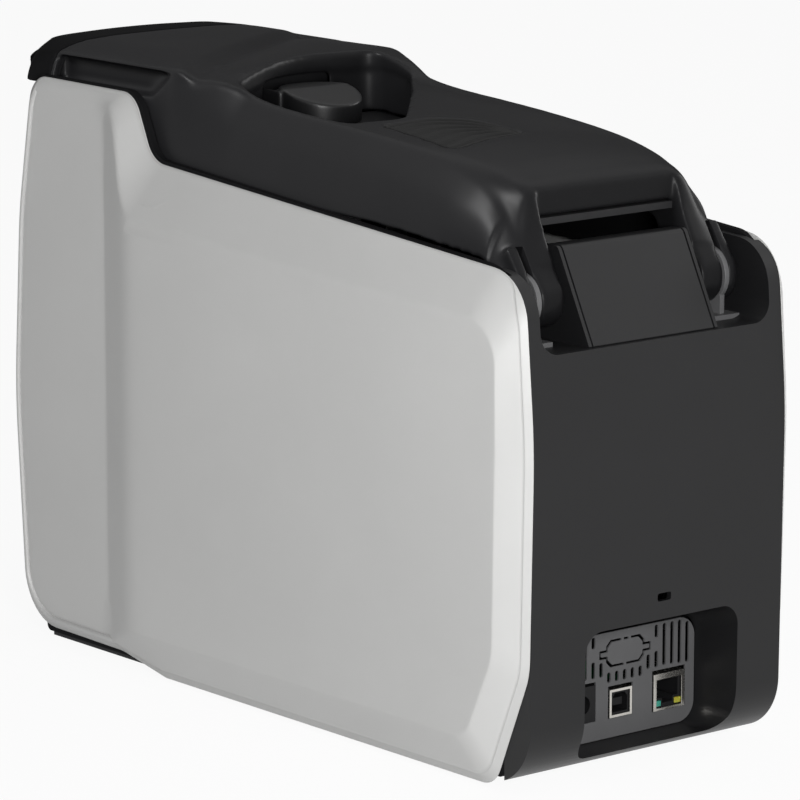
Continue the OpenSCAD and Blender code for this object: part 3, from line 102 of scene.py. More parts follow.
def smoothTable(rows):
    # monotone cubic through [position, value] rows: no overshoot between them
    x, y = np.array(rows, float).T
    step = np.diff(x)
    slope = np.diff(y) / step
    tangent = np.concatenate([[slope[0]], np.zeros(len(x) - 2), [slope[-1]]])
    for i in range(1, len(x) - 1):
        if slope[i - 1] * slope[i] > 0:
            w1, w2 = 2 * step[i] + step[i - 1], step[i] + 2 * step[i - 1]
            tangent[i] = (w1 + w2) / (w1 / slope[i - 1] + w2 / slope[i])

    def value(at):
        at = float(min(max(at, x[0]), x[-1]))
        i = min(int(np.searchsorted(x, at, "right")) - 1, len(x) - 2)
        t = (at - x[i]) / step[i]
        return ((1 + 2 * t) * (1 - t) ** 2 * y[i] + t * (1 - t) ** 2 * step[i] * tangent[i]
                + t * t * (3 - 2 * t) * y[i + 1] + t * t * (t - 1) * step[i] * tangent[i + 1])
    return value


def flowingCurve(points, steps):
    # Catmull-Rom curve through the points of one cross-section
    p = np.asarray(points, float)
    p = np.vstack([2 * p[0] - p[1], p, 2 * p[-1] - p[-2]])
    out = []
    for i in range(1, len(p) - 2):
        for t in np.arange(steps) / steps:
            out.append(0.5 * (2 * p[i] + (p[i + 1] - p[i - 1]) * t
                              + (2 * p[i - 1] - 5 * p[i] + 4 * p[i + 1] - p[i + 2]) * t * t
                              + (3 * p[i] - p[i - 1] - 3 * p[i + 1] + p[i + 2]) * t ** 3))
    return np.array(out + [p[-2]])


def smoothStep(t):
    t = np.clip(t, 0, 1)
    return t * t * (3 - 2 * t)


def softMin(a, b, width):
    h = np.clip(0.5 + 0.5 * (b - a) / width, 0, 1)
    return b * (1 - h) + a * h - width * h * (1 - h)


def makeObject(name, points, faces, smooth=True):
    mesh = bpy.data.meshes.new(name)
    mesh.from_pydata([tuple(p) for p in np.asarray(points, float) * mm], [], faces)
    mesh.polygons.foreach_set("use_smooth", [smooth] * len(mesh.polygons))
    mesh.update()
    obj = bpy.data.objects.new(name, mesh)
    scene.collection.objects.link(obj)
    return obj


def loft(name, rings, smooth=True, ringClosed=False):
    # skin through rings of equal length, with end caps unless the last ring meets the first
    rings = np.asarray(rings, float)
    count, size = rings.shape[:2]
    faces = []
    for j in range(count if ringClosed else count - 1):
        k = (j + 1) % count
        faces += [(j * size + i, k * size + i, k * size + (i + 1) % size, j * size + (i + 1) % size)
                  for i in range(size)]
    if not ringClosed:
        faces.append(tuple(range(size)))
        faces.append(tuple((count - 1) * size + i for i in reversed(range(size))))
    return reworked(makeObject(name, rings.reshape(-1, 3), faces, smooth), faceOutwards)


def reworked(obj, work):
    # takes the object's mesh through one bmesh job
    skin = bmesh.new()
    skin.from_mesh(obj.data)
    work(skin)
    skin.to_mesh(obj.data)
    skin.free()
    return obj


def faceOutwards(skin):
    bmesh.ops.recalc_face_normals(skin, faces=skin.faces)


def prism(name, outline, axis, low, high, smooth=False):
    # outline (u, v) carried along one axis: x takes (Y, Z), y takes (X, Z), z takes (X, Y)
    place = {"x": lambda p, w: (w, p[0], p[1]), "y": lambda p, w: (p[0], w, p[1]),
             "z": lambda p, w: (p[0], p[1], w)}[axis]
    return loft(name, [[place(p, w) for p in outline] for w in (low, high)], smooth)


def block(name, low, high):
    return prism(name, [(low[0], low[1]), (high[0], low[1]), (high[0], high[1]), (low[0], high[1])],
                 "z", low[2], high[2])


def rod(name, axis, centre, radius, low, high, steps=48):
    angles = np.arange(steps) * 2 * math.pi / steps
    circle = [(centre[0] + radius * math.cos(q), centre[1] + radius * math.sin(q)) for q in angles]
    return prism(name, circle, axis, low, high, True)


def spanAt(side, near, far):
    # low and high X of something between two distances, on the right (1) or left (-1)
    return sorted((side * near, side * far))


def centred(name, at, size, front, rear):
    # block around (X, Z) with a width and height, from one depth to another
    (x, z), (width, height) = at, size
    return block(name, (x - width / 2, front, z - height / 2), (x + width / 2, rear, z + height / 2))


def pill(width, height, radius, centre=(0, 0), arcSteps=8):
    x, y = width / 2, height / 2
    outline = roundedOutline([(-x, -y, radius), (x, -y, radius), (x, y, radius), (-x, y, radius)], arcSteps)
    return outline + np.array(centre)


def settle(obj):
    # applies the modifiers
    view = bpy.context.evaluated_depsgraph_get()
    mesh = bpy.data.meshes.new_from_object(obj.evaluated_get(view))
    old = obj.data
    obj.modifiers.clear()
    obj.data = mesh
    bpy.data.meshes.remove(old)
    return obj


def combine(obj, others, how="DIFFERENCE"):
    for other in others:
        cut = obj.modifiers.new("cut", "BOOLEAN")
        cut.operation = how
        cut.solver = "EXACT"
        cut.object = other
        settle(obj)
        bpy.data.objects.remove(other)
    return obj


def joined(obj, others):
    # lays several closed skins in one mesh
    reworked(obj, lambda skin: [skin.from_mesh(other.data) for other in others])
    for other in others:
        bpy.data.objects.remove(other)
    return obj


def mirrored(obj, name):
    copy = bpy.data.objects.new(name, obj.data.copy())
    scene.collection.objects.link(copy)

    def flip(skin):
        for vertex in skin.verts:
            vertex.co.x = -vertex.co.x
        bmesh.ops.reverse_faces(skin, faces=skin.faces)

    return reworked(copy, flip)


def meshPoints(obj):
    points = np.empty(len(obj.data.vertices) * 3, np.float32)
    obj.data.vertices.foreach_get("co", points)
    return points.reshape(-1, 3)


def setPoints(obj, points):
    obj.data.vertices.foreach_set("co", np.asarray(points, np.float32).ravel())
    obj.data.update()


def nearestSurface(obj):
    skin = bmesh.new()
    skin.from_mesh(obj.data)
    tree = BVHTree.FromBMesh(skin)
    skin.free()
    return tree


def moulded(obj, voxel, rounds, surface=None, reach=0.5):
    # one skin over overlapping solids, its edges worn round as a mould leaves them;
    # points that lie on the true surface are put back on it
    remesh = obj.modifiers.new("oneSkin", "REMESH")
    remesh.mode = "VOXEL"
    remesh.voxel_size = voxel * mm
    remesh.use_smooth_shade = True
    settle(obj)
    points = meshPoints(obj)
    edges = np.empty(len(obj.data.edges) * 2, np.int32)
    obj.data.edges.foreach_get("vertices", edges)
    a, b = edges.reshape(-1, 2).T
    degree = np.bincount(np.concatenate([a, b]), minlength=len(points)).astype(np.float32)[:, None]

    def relaxed(points, pull):
        # each round draws every point towards the mean of its neighbours
        for _ in range(rounds):
            total = np.zeros_like(points)
            for axis in range(3):
                total[:, axis] = (np.bincount(a, points[b, axis], len(points))
                                  + np.bincount(b, points[a, axis], len(points)))
            points = (1 - pull) * points + pull * total / degree
        return points

    points = relaxed(points, 0.6)
    if surface is not None:
        target, weight = points.copy(), np.zeros(len(points), np.float32)
        for i, point in enumerate(points):
            found = surface.find_nearest(Vector(point), reach * mm)
            if found[0] is not None:
                target[i] = found[0]
                weight[i] = smoothStep(1.6 - 1.6 * found[3] / (reach * mm))
        for _ in range(2):  # points beside a rim stay where the rounding left them
            least = weight.copy()
            np.minimum.at(least, a, weight[b])
            np.minimum.at(least, b, weight[a])
            weight = least
        points = points + (target - points) * weight[:, None]
    setPoints(obj, relaxed(points, 0.5))
    obj.data.polygons.foreach_set("use_smooth", [True] * len(obj.data.polygons))
    return obj


def softEdges(obj, width, segments=3, angle=35):
    # small radii on sharp edges, with faces kept flat between them
    weld = obj.modifiers.new("oneSkin", "WELD")
    weld.merge_threshold = 0.002 * mm
    bevel = obj.modifiers.new("edgeRadius", "BEVEL")
    bevel.width = width * mm
    bevel.segments = segments
    bevel.limit_method = "ANGLE"
    bevel.angle_limit = math.radians(angle)
    bevel.miter_outer = "MITER_ARC"
    obj.modifiers.new("faceNormals", "WEIGHTED_NORMAL").keep_sharp = False


def dress(obj, material, body, slot, *nodes):
    obj.data.materials.clear()
    obj.data.materials.append(material)
    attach(obj, body)
    if nodes:
        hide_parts(*nodes)
    return obj


# materials
def linear(hexColour):
    channels = [int(hexColour[i:i + 2], 16) / 255 for i in (1, 3, 5)]
    return tuple(c / 12.92 if c <= 0.04045 else ((c + 0.055) / 1.055) ** 2.4 for c in channels) + (1,)


def addNode(tree, kind, settings=None, links=None):
    # a node with its settings (by property or socket name) and its incoming links
    node = tree.nodes.new(kind)
    for name, value in (settings or {}).items():
        if isinstance(name, str) and hasattr(node, name):
            setattr(node, name, value)
        else:
            node.inputs[name].default_value = value
    for socket, source in (links or {}).items():
        tree.links.new(source, node.inputs[socket])
    return node


def emptyTree(owner):
    owner.use_nodes = True
    owner.node_tree.nodes.clear()
    return owner.node_tree


def newMaterial(name):
    material = bpy.data.materials.new(name)
    tree = emptyTree(material)
    return material, tree, addNode(tree, "ShaderNodeTexCoord").outputs["Object"]


def finishMaterial(tree, settings, links):
    shader = addNode(tree, "ShaderNodeBsdfPrincipled", settings, links)
    addNode(tree, "ShaderNodeOutputMaterial", None, {"Surface": shader.outputs["BSDF"]})
    return shader


def surfaceLinks(tree, place, marks, values, cloudSize):
    # two tones in faint clouds, with gloss and relief that follow the marks
    cloud = addNode(tree, "ShaderNodeTexNoise", cloudSize, {"Vector": place})
    colour = addNode(tree, "ShaderNodeMix", {"data_type": "RGBA", 6: linear(values["dark"]),
                                             7: linear(values["light"])}, {0: cloud.outputs["Fac"]})
    gloss = addNode(tree, "ShaderNodeMapRange", {"To Min": values["rough"][0], "To Max": values["rough"][1]},
                    {"Value": marks.outputs["Fac"]})
    bump = addNode(tree, "ShaderNodeBump", {"Strength": 1.0, "Distance": values["depth"] * mm},
                   {"Height": marks.outputs["Fac"]})
    return {"Base Color": colour.outputs[2], "Roughness": gloss.outputs["Result"],
            "Normal": bump.outputs["Normal"]}


def mouldedPlastic(name, values):
    # injection moulded plastic: spark-eroded grain from the tool, faint unevenness in tone and gloss
    material, tree, place = newMaterial(name)
    grain = addNode(tree, "ShaderNodeTexNoise", {"Scale": 1 / (values["grain"] * mm), "Detail": 2.0,
                                                 "Roughness": 0.6}, {"Vector": place})
    finishMaterial(tree, {"IOR": values["ior"], "Metallic": 0.0, "Specular IOR Level": values["sheen"]},
                   surfaceLinks(tree, place, grain, values, {"Scale": 1 / (values["cloud"] * mm),
                                                             "Detail": 3.0}))
    return material


def workedMetal(name, values):
    # metal with fine marks drawn out along one direction by rolling, grinding or drawing
    material, tree, place = newMaterial(name)
    stretch = addNode(tree, "ShaderNodeMapping", {"Scale": values["stretch"]}, {"Vector": place})
    marks = addNode(tree, "ShaderNodeTexNoise", {"Scale": 1 / (values["marks"] * mm), "Detail": 3.0},
                    {"Vector": stretch.outputs["Vector"]})
    finishMaterial(tree, {"Metallic": 1.0},
                   surfaceLinks(tree, place, marks, values, {"Scale": 1 / (9 * mm), "Detail": 2.0}))
    return material


plastics = {  # finish: two tones, roughness, IOR, grain, relief and cloud in mm, sheen
    # satin ABS of the side panels: an even pale grey, soft sheen, grain too fine to see one by one
    "satinGreyAbs": ("#ADADAC", "#B5B5B4", (0.38, 0.52), 1.54, 0.5, 0.006, 60, 0.5),
    # matching ABS of the rim piece, a shade darker than the panel
    "paleRimAbs": ("#A6A6A5", "#AEAEAD", (0.4, 0.52), 1.54, 0.5, 0.006, 60, 0.5),
    # spark-textured black ABS: near black, a broad dull sheen
    "sparkTexturedBlackAbs": ("#101011", "#141415", (0.32, 0.44), 1.5, 0.55, 0.012, 40, 0.08),
    # smoother black ABS of the frame strip and the hood: a touch more gloss
    "satinBlackAbs": ("#141415", "#181819", (0.42, 0.54), 1.5, 0.4, 0.005, 40, 0.012),
    # satin charcoal ABS of the rear: dark faces whose edges catch the light
    "satinCharcoalAbs": ("#121213", "#161617", (0.34, 0.46), 1.5, 0.6, 0.012, 40, 0.26),
    # glass-filled inner plastic: flat dark grey with visible flow
    "glassFilledNylon": ("#1B1B1C", "#212122", (0.5, 0.7), 1.53, 0.8, 0.01, 12, 0.16),
    # moulded elastomer of the thumb grip: matt, slightly lighter than the lid
    "mattElastomer": ("#1C1C1C", "#212121", (0.62, 0.78), 1.48, 0.3, 0.01, 10, 0.16),
    # vulcanised rubber of rollers and feet: dull, ground to a nap
    "groundRubber": ("#1A1A1A", "#222222", (0.75, 0.9), 1.5, 0.35, 0.02, 8, 0.16),
    # nylon of sockets: black with a low sheen
    "socketNylon": ("#0F0F10", "#141415", (0.4, 0.55), 1.53, 0.4, 0.004, 6, 0.16),
    # acetal of the gears: milky off-white, waxy
    "acetalGear": ("#D6D3C8", "#E0DDD3", (0.32, 0.42), 1.48, 0.4, 0.003, 10, 0.5),
    # moulded polystyrene of the ribbon cartridge: smooth, blue-grey
    "cartridgeStyrene": ("#3C4148", "#454A52", (0.28, 0.4), 1.59, 0.4, 0.003, 20, 0.5),
    # painted keys: charcoal, soft to the touch, an even low gloss
    "paintedKey": ("#2F2F31", "#353537", (0.4, 0.5), 1.5, 0.3, 0.003, 8, 0.5),
    # powder-coated steel of the port plate: mid grey with a fine orange peel
    "powderCoatedSteel": ("#4A4A4B", "#525253", (0.45, 0.6), 1.5, 0.9, 0.02, 15, 0.16),
    # painted steel of the hinge brackets: dark grey, low gloss
    "paintedSteel": ("#4A4A4B", "#545455", (0.4, 0.52), 1.5, 0.5, 0.004, 12, 0.5),
}
metals = {  # finish: two tones, roughness, marks in mm, stretch along each axis, relief in mm
    # rolled and zinc-plated sheet: bright grey with long faint marks
    "zincPlatedSheet": ("#A9ABAE", "#BDBFC2", (0.28, 0.42), 0.8, (1, 0.06, 1), 0.003),
    # ground steel shafts: marks run round, highlight runs along
    "groundSteel": ("#B9BABC", "#C9CACC", (0.16, 0.28), 0.3, (0.3, 1, 1), 0.002),
    # nickel-plated connector shells: smooth, bright
    "nickelPlatedShell": ("#BDBAB4", "#CCC9C3", (0.2, 0.32), 0.5, (1, 0.1, 1), 0.002),
    # turned brass of the pinion: warm yellow, fine rings
    "turnedBrass": ("#C9A24A", "#D8B25C", (0.2, 0.32), 0.3, (1, 0.2, 0.2), 0.002),
    # extruded aluminium of the head's heat sink: pale grey with long die lines
    "extrudedAluminium": ("#B4B6B9", "#C6C8CB", (0.3, 0.42), 0.5, (0.05, 1, 1), 0.004),
}
plasticTraits = ("dark", "light", "rough", "ior", "grain", "depth", "cloud", "sheen")
metalTraits = ("dark", "light", "rough", "marks", "stretch", "depth")
finish = {name: mouldedPlastic(name, dict(zip(plasticTraits, row))) for name, row in plastics.items()}
finish.update({name: workedMetal(name, dict(zip(metalTraits, row))) for name, row in metals.items()})


def solderMaskBoard():
    # green solder mask over copper: tracks show as slightly raised, lighter lines
    values = {"track": 1.4, "mask": "#0F4A2A", "copper": "#1E6B3E"}
    material, tree, place = newMaterial("solderMaskBoard")
    tracks = addNode(tree, "ShaderNodeTexBrick", {
        "Scale": 1 / (values["track"] * 4 * mm), "Mortar Size": 0.03, "Brick Width": 1.6, "Row Height": 0.3,
        "Color1": linear(values["mask"]), "Color2": linear(values["mask"]),
        "Mortar": linear(values["copper"])}, {"Vector": place})
    bump = addNode(tree, "ShaderNodeBump", {"Distance": 0.03 * mm}, {"Height": tracks.outputs["Fac"]})
    finishMaterial(tree, {"Roughness": 0.32, "IOR": 1.5},
                   {"Base Color": tracks.outputs["Color"], "Normal": bump.outputs["Normal"]})
    return material


def pvcCards():
    # a stack of laminated PVC cards: one dark hairline between card and card on the edges
    values = {"card": 0.76, "face": "#EDEDEA", "line": "#B9B9B4"}
    material, tree, place = newMaterial("pvcCards")
    bands = addNode(tree, "ShaderNodeTexWave", {
        "wave_type": "BANDS", "bands_direction": "Z", "wave_profile": "SAW",
        "Scale": 1 / (values["card"] * mm) / 20 * math.pi}, {"Vector": place})
    line = addNode(tree, "ShaderNodeMapRange", {"From Min": 0.82, "From Max": 0.9},
                   {"Value": bands.outputs["Fac"]})
    colour = addNode(tree, "ShaderNodeMix", {"data_type": "RGBA", 6: linear(values["face"]),
                                             7: linear(values["line"])}, {0: line.outputs["Result"]})
    finishMaterial(tree, {"Roughness": 0.28, "IOR": 1.53}, {"Base Color": colour.outputs[2]})
    return material


def dyeRibbon():
    # thin PET film coated with panels of dye: glossy, each colour as long as a card
    values = {"panel": 86, "dyes": ["#C9A51E", "#A3245E", "#1C6E9C", "#161616", "#8D8A84"]}
    material, tree, place = newMaterial("dyeRibbon")
    split = addNode(tree, "ShaderNodeSeparateXYZ", None, {"Vector": place})
    turns = addNode(tree, "ShaderNodeMath", {"operation": "MULTIPLY_ADD", 2: 0.5,
                                             1: 1 / (values["panel"] * mm) / 5}, {0: split.outputs["Y"]})
    part = addNode(tree, "ShaderNodeMath", {"operation": "FRACT"}, {0: turns.outputs[0]})
    ramp = addNode(tree, "ShaderNodeValToRGB", None, {"Fac": part.outputs[0]})
    ramp.color_ramp.interpolation = "CONSTANT"
    for i, dye in enumerate(values["dyes"]):
        stop = ramp.color_ramp.elements[i] if i < 2 else ramp.color_ramp.elements.new(i / 5)
        stop.position = i / 5
        stop.color = linear(dye)
    finishMaterial(tree, {"Roughness": 0.12, "IOR": 1.57}, {"Base Color": ramp.outputs["Color"]})
    return material


def tintedAcrylic():
    # smoked acrylic window: deep black with a hard clear gloss
    material, tree, place = newMaterial("tintedAcrylic")
    dust = addNode(tree, "ShaderNodeTexNoise", {"Scale": 1 / (3 * mm), "Detail": 4.0}, {"Vector": place})
    gloss = addNode(tree, "ShaderNodeMapRange", {"To Min": 0.04, "To Max": 0.1},
                    {"Value": dust.outputs["Fac"]})
    finishMaterial(tree, {"Base Color": linear("#070A0D"), "IOR": 1.49, "Coat Weight": 0.3},
                   {"Roughness": gloss.outputs["Result"]})
    return material


def lightLens(name, tint):
    # diffusing polycarbonate lens over a small light
    material, tree, place = newMaterial(name)
    haze = addNode(tree, "ShaderNodeTexNoise", {"Scale": 1 / (0.8 * mm)}, {"Vector": place})
    gloss = addNode(tree, "ShaderNodeMapRange", {"To Min": 0.2, "To Max": 0.35},
                    {"Value": haze.outputs["Fac"]})
    finishMaterial(tree, {"Base Color": linear(tint), "IOR": 1.58, "Subsurface Weight": 0.2,
                          "Subsurface Scale": 0.6 * mm}, {"Roughness": gloss.outputs["Result"]})
    return material


finish.update({"solderMaskBoard": solderMaskBoard(), "pvcCards": pvcCards(), "dyeRibbon": dyeRibbon(),
               "tintedAcrylic": tintedAcrylic(), "greenLens": lightLens("greenLens", "#2F8070"),
               "amberLens": lightLens("amberLens", "#8F8B2A")})
print("materials made:", len(finish))


# side panels and their rims
panelLow, panelHigh = cornersOf("side_panel_right")
trimLow, trimHigh = cornersOf("side_trims")
panel = {"halfWidth": panelHigh[0], "seamX": panelLow[0], "rimX": panelLow[0] - 2.8, "wall": 2.5,
         "columnIn": 8, "ramp": (-103, -99, -84, -58),  # Y where the fold starts, is full, eases and ends
         "seamMix": 0.2, "innerMix": 0.32,  # shares of the way from the rim's outline to the crown's
         "crowning": 0.05, "foldWidth": 0.35,
         "front": trimLow[1], "rear": trimHigh[1], "base": trimLow[2], "columnTop": 260.5,
         "waistTop": 232.5, "tailTop": 215, "waistY": -66, "columnBack": -79, "bellyZ": 115, "spineZ": 146}


def panelRings(p):
    # outline of the rim, and of the line where the sloped edge would meet the flat face
    front, rear, base, top, back = p["front"], p["rear"], p["base"], p["columnTop"], p["columnBack"]
    rim = [(front + 6.5, base + 7, 24), (-92, base + 6, 20), (-60, base, 12), (rear - 23, base, 12),
           (rear - 2, 52, 34), (rear, p["spineZ"], 300), (rear - 6, p["tailTop"], 22),
           (p["waistY"], p["waistTop"], 14), (back, top + 0.5, 13), (front + 16, top + 1, 13),
           (front + 5.5, 200, 200), (front, p["bellyZ"], 300)]
    crown = [(front + 22, base + 24, 18), (-96, base + 23, 18), (-66, base + 20, 14),
             (rear - 32, base + 20, 12), (rear - 15, 58, 30), (rear - 13.5, p["spineZ"], 260),
             (rear - 14, p["tailTop"] - 19.5, 18), (p["waistY"] - 20, p["waistTop"] - 25, 20),
             (back - 20, top - 18.5, 13), (front + 29, top - 18.5, 12),
             (front + 19, 196, 180), (front + 14, p["bellyZ"], 260)]
    return roundedOutline(rim, 10, 8), roundedOutline(crown, 10, 8)


rimRing, crownRing = panelRings(panel)


def planX(y, p):
    # the column stands back from the plateau: one crisp fold, a straight ramp, then a long soft curve
    lean = np.interp(y, rampAt, rampDepth)
    return p["halfWidth"] - p["columnIn"] * (1 - lean)


def rampTable(p):
    start, full, ease, end = p["ramp"]
    y = np.linspace(start, end, 60)
    slope = smoothStep((y - start) / (full - start)) * (1 - smoothStep((y - ease) / (end - ease))) ** 2
    depth = np.concatenate([[0], np.cumsum((slope[1:] + slope[:-1]) / 2)])
    return y, depth / depth[-1]


rampAt, rampDepth = rampTable(panel)


def seamShare(y, z, p):
    # along the top edge the panel reaches over the rim, which shows only at the rear, bottom and front
    onTop = smoothStep((z - (p["tailTop"] - 22)) / 12) * smoothStep((p["rear"] - 5 - y) / 9)
    return 1 - 0.9 * onTop * smoothStep((y - p["front"] - 12) / 12)


def panelRing(mix, x, p, inside=0):
    seam, depth = p["seamMix"], p["seamX"] - p["rimX"]
    share = seamShare(rimRing[:, 0], rimRing[:, 1], p)
    beyond = np.clip((mix - seam) / (1 - seam), 0, 1)
    place = mix * share if mix <= seam else mix - seam * (1 - share) * (1 - beyond)
    outline = rimRing * (1 - place[:, None]) + crownRing * place[:, None]
    width = x - (1 - share) * (depth * (1 - beyond) if mix > seam else np.maximum(x - p["rimX"], 0))
    if inside is not None:
        width = softMin(width, planX(outline[:, 0], p) - inside, p["foldWidth"])
    return np.column_stack([width, outline])


def slopeX(mix, p):
    u = (mix - p["seamMix"]) / (1 - p["seamMix"])
    return p["seamX"] + (p["halfWidth"] - p["seamX"]) * (u + p["crowning"] * u * (1 - u))


def sidePanel(name, p):
    seam = p["seamMix"]
    outer = [(0.235, p["seamX"] + 0.02), (0.212, p["seamX"] + 0.12), (seam + 0.003, p["seamX"] + 0.3)]
    outer += [(mix, slopeX(mix, p)) for mix in
              (0.23, 0.26, 0.3, 0.36, 0.43, 0.5, 0.57, 0.64, 0.7, 0.75, 0.8, 0.84,
               0.88, 0.91, 0.94, 0.97, 1.0, 1.03, 1.06, 1.1, 1.15, 1.2, 1.26)]
    inner = [(1.1, p["halfWidth"] - p["wall"]), (0.75, p["halfWidth"] - p["wall"] - 2.5),
             (p["innerMix"] + 0.02, p["seamX"] + 1), (p["innerMix"], p["seamX"] + 0.02)]
    rings = [panelRing(mix, x, p, p["wall"]) for mix, x in inner]
    rings += [panelRing(mix, x, p) for mix, x in outer]

    def bendCaps(skin):
        # cuts across the two flat caps let them follow the column's fold
        for y in np.arange(p["ramp"][0] - 3, p["ramp"][3] + 3, 1.5):
            caps = [f for f in skin.faces if len(f.verts) > 8]
            borders = {e for f in caps for e in f.edges} | {v for f in caps for v in f.verts}
            bmesh.ops.bisect_plane(skin, geom=caps + list(borders), plane_co=(0, y * mm, 0),
                                   plane_no=(0, 1, 0))
        for vertex in list(skin.verts)[len(rimRing) * len(rings):]:
            plan = planX(vertex.co.y / mm, p)
            vertex.co.x = (plan - (p["wall"] if vertex.co.x < (plan - 1.2) * mm else 0)) * mm
        faceOutwards(skin)

    obj = reworked(loft(name, rings), bendCaps)
    obj.data.polygons.foreach_set("use_smooth", [True] * len(obj.data.polygons))
    obj.modifiers.new("faceNormals", "WEIGHTED_NORMAL").weight = 60
    return obj


def sideTrim(name, p):
    seam, inner, rimX = p["seamMix"], p["innerMix"], p["rimX"]
    profile = [(inner, rimX), (0.04, rimX), (0.01, rimX + 0.02), (0.0, rimX + 0.2), (0.012, rimX + 0.38),
               (0.05, rimX + 0.85), (0.1, rimX + 1.52), (0.15, rimX + 2.2), (0.185, p["seamX"] - 0.18),
               (0.2, p["seamX"] - 0.06), (0.225, p["seamX"] - 0.02), (inner, p["seamX"] - 0.02)]
    obj = loft(name, [panelRing(mix, x, p, None) for mix, x in profile], ringClosed=True)
    obj.modifiers.new("faceNormals", "WEIGHTED_NORMAL").weight = 60
    return obj


rightPanel = sidePanel("rightSidePanel", panel)
rightTrim = sideTrim("rightRim", panel)
for obj, other, material, slot, nodes in (
        (rightPanel, "leftSidePanel", "satinGreyAbs", "grey_panel", ("side_panel_left", "side_panel_right")),
        (rightTrim, "leftRim", "paleRimAbs", "pale_rim", ("side_trims", "side_trims"))):
    dress(mirrored(obj, other), finish[material], "root", slot, nodes[0])
    dress(obj, finish[material], "root", slot, nodes[1])
print("side panels made, seam at", panel["seamX"])


# lid and hood: one flowing surface cut into two pieces
lidHigh, hoodLow = cornersOf("top_cover")[1], cornersOf("hood_trim")[0]
lid = {"top": lidHigh[2], "front": hoodLow[1], "seam": -150, "end": 163, "halfWidth": lidHigh[0],
       "tailHalf": 62.4, "tailY": 121, "railX": 40, "wall": 2.5, "step": 1.6, "voxel": 0.95,
       # a cross-section's points between edge and shoulder, and between rail and crown, as shares
       "sideBlend": ((0.14, 0.3), (0.4, 0.62), (0.76, 0.88)), "crownBlend": ((0.62, 0.62), (0.3, 0.92)),
       # finger pocket: plan corners (X, Y, radius), and ways for the lever (half width, top)
       "pocket": [(46, -26, 6), (46, 36, 12), (18, 44, 14), (-29, -8, 34), (-46, -30, 12), (-46, -56, 8),
                  (0, -58, 60), (45, -36, 6)],
       "pocketCentre": (4, -16), "pocketWall": 3, "pocketLedge": 8, "ledgeStep": 1.1,
       "leverWays": ((22.5, 264.8), (28.5, 255)), "leverRun": (-75, -38),
       "dustHalf": 36, "dustY": -65.5, "dustWall": 2,
       # diagonal crease, and the recess under the brim, whose rear end leans from foot to head (Y, Z)
       "crease": 3.2, "creaseAt": (57, -58), "creaseSlant": 0.588, "recessX": 57, "recessFloor": 259.5,
       "recessFront": -147.2, "recessFoot": (-75, 258), "recessHead": (-56, 273), "recessFillet": 10,
       "brimDrop": 6.5, "brimWall": 2.4,
       # thumb grip: plan corners (X, Y, radius)
       "grip": [(36, 50, 4), (41, 103, 4), (22, 99.5, 40), (-2, 98, 3), (-4, 62, 16), (10, 49.5, 14)],
       "gripDepth": 1.5, "gripCentre": (18, 76), "gripGap": 0.35,
       # rear lip, hinge arms around the hinge (Y, Z), and the lugs of the latch bar
       "lipY": 151, "lipThick": 2.5, "arms": (38, 50.2, 53.2, 58), "hinge": (158, 200), "knuckle": 12,
       "pin": 3.05, "slotTop": 222, "linerRise": 15, "lugs": (50, 53.5), "lugRun": (-132, -124)}
top, front = lid["top"], lid["front"]


def belowTop(rows):
    # height along the lid, from (Y, drop below its highest point) rows
    return smoothTable([(y, top - drop) for y, drop in rows])


edgeLine = smoothTable([(front, top - 11.5), (-178, top - 11.5), (-176, 257.5), (-80, 257.5), (-75, 250.5),
                        (-69, 236.5), (-64, 231), (148, 216), (149, 206), (lid["end"], 202)])
crownLine = belowTop([(front, 8), (front + 6, 2.5), (front + 18, 0.5), (-140, 0), (-112, 0.5), (-88, 1.2),
                      (-54, 3.5), (-38, 6), (-20, 11), (0, 14.5), (40, 17.5), (100, 20), (125, 24.5),
                      (140, 29), (151, 34), (lid["end"], 60)])
railLine = belowTop([(front, 9.5), (front + 6, 4), (front + 18, 1.5), (-140, 0.8), (-112, 1), (-88, 1.8),
                     (-54, 4), (-38, 7.5), (-25, 12.5), (-10, 15.5), (20, 18), (60, 19.5), (105, 22.7),
                     (125, 26), (140, 30), (151, 34.5), (157, 50), (lid["end"], 62)])
shoulderLine = belowTop([(front, 13), (front + 6, 8), (front + 18, 6), (-140, 5), (-60, 4.7), (-44, 6.5),
                         (-32, 9.5), (-20, 13.5), (0, 16), (32, 18), (60, 20), (105, 25), (130, 31),
                         (140, 36), (148, 43), (157, 54), (lid["end"], 64)])
shoulderWidth = smoothTable([(front, 32), (front + 8, 46), (front + 18, 55), (-150, 60), (-62, 60),
                             (-40, 54), (-20, 50), (200, 50)])
edgeWidth = smoothTable([(front, 36), (front + 3, 45), (front + 8, 54), (front + 14, 59.5),
                         (front + 24, lid["halfWidth"]), (200, lid["halfWidth"])])


def creaseDrop(x, y):
    # the plate over the front ends in a diagonal step, and the dome rises again behind it
    startX, startY = lid["creaseAt"]
    past = y - (startY + (x - startX) * lid["creaseSlant"])
    return lid["crease"] * smoothStep((past + 6) / 14) * np.exp(-max(past - 8, 0) / 14)


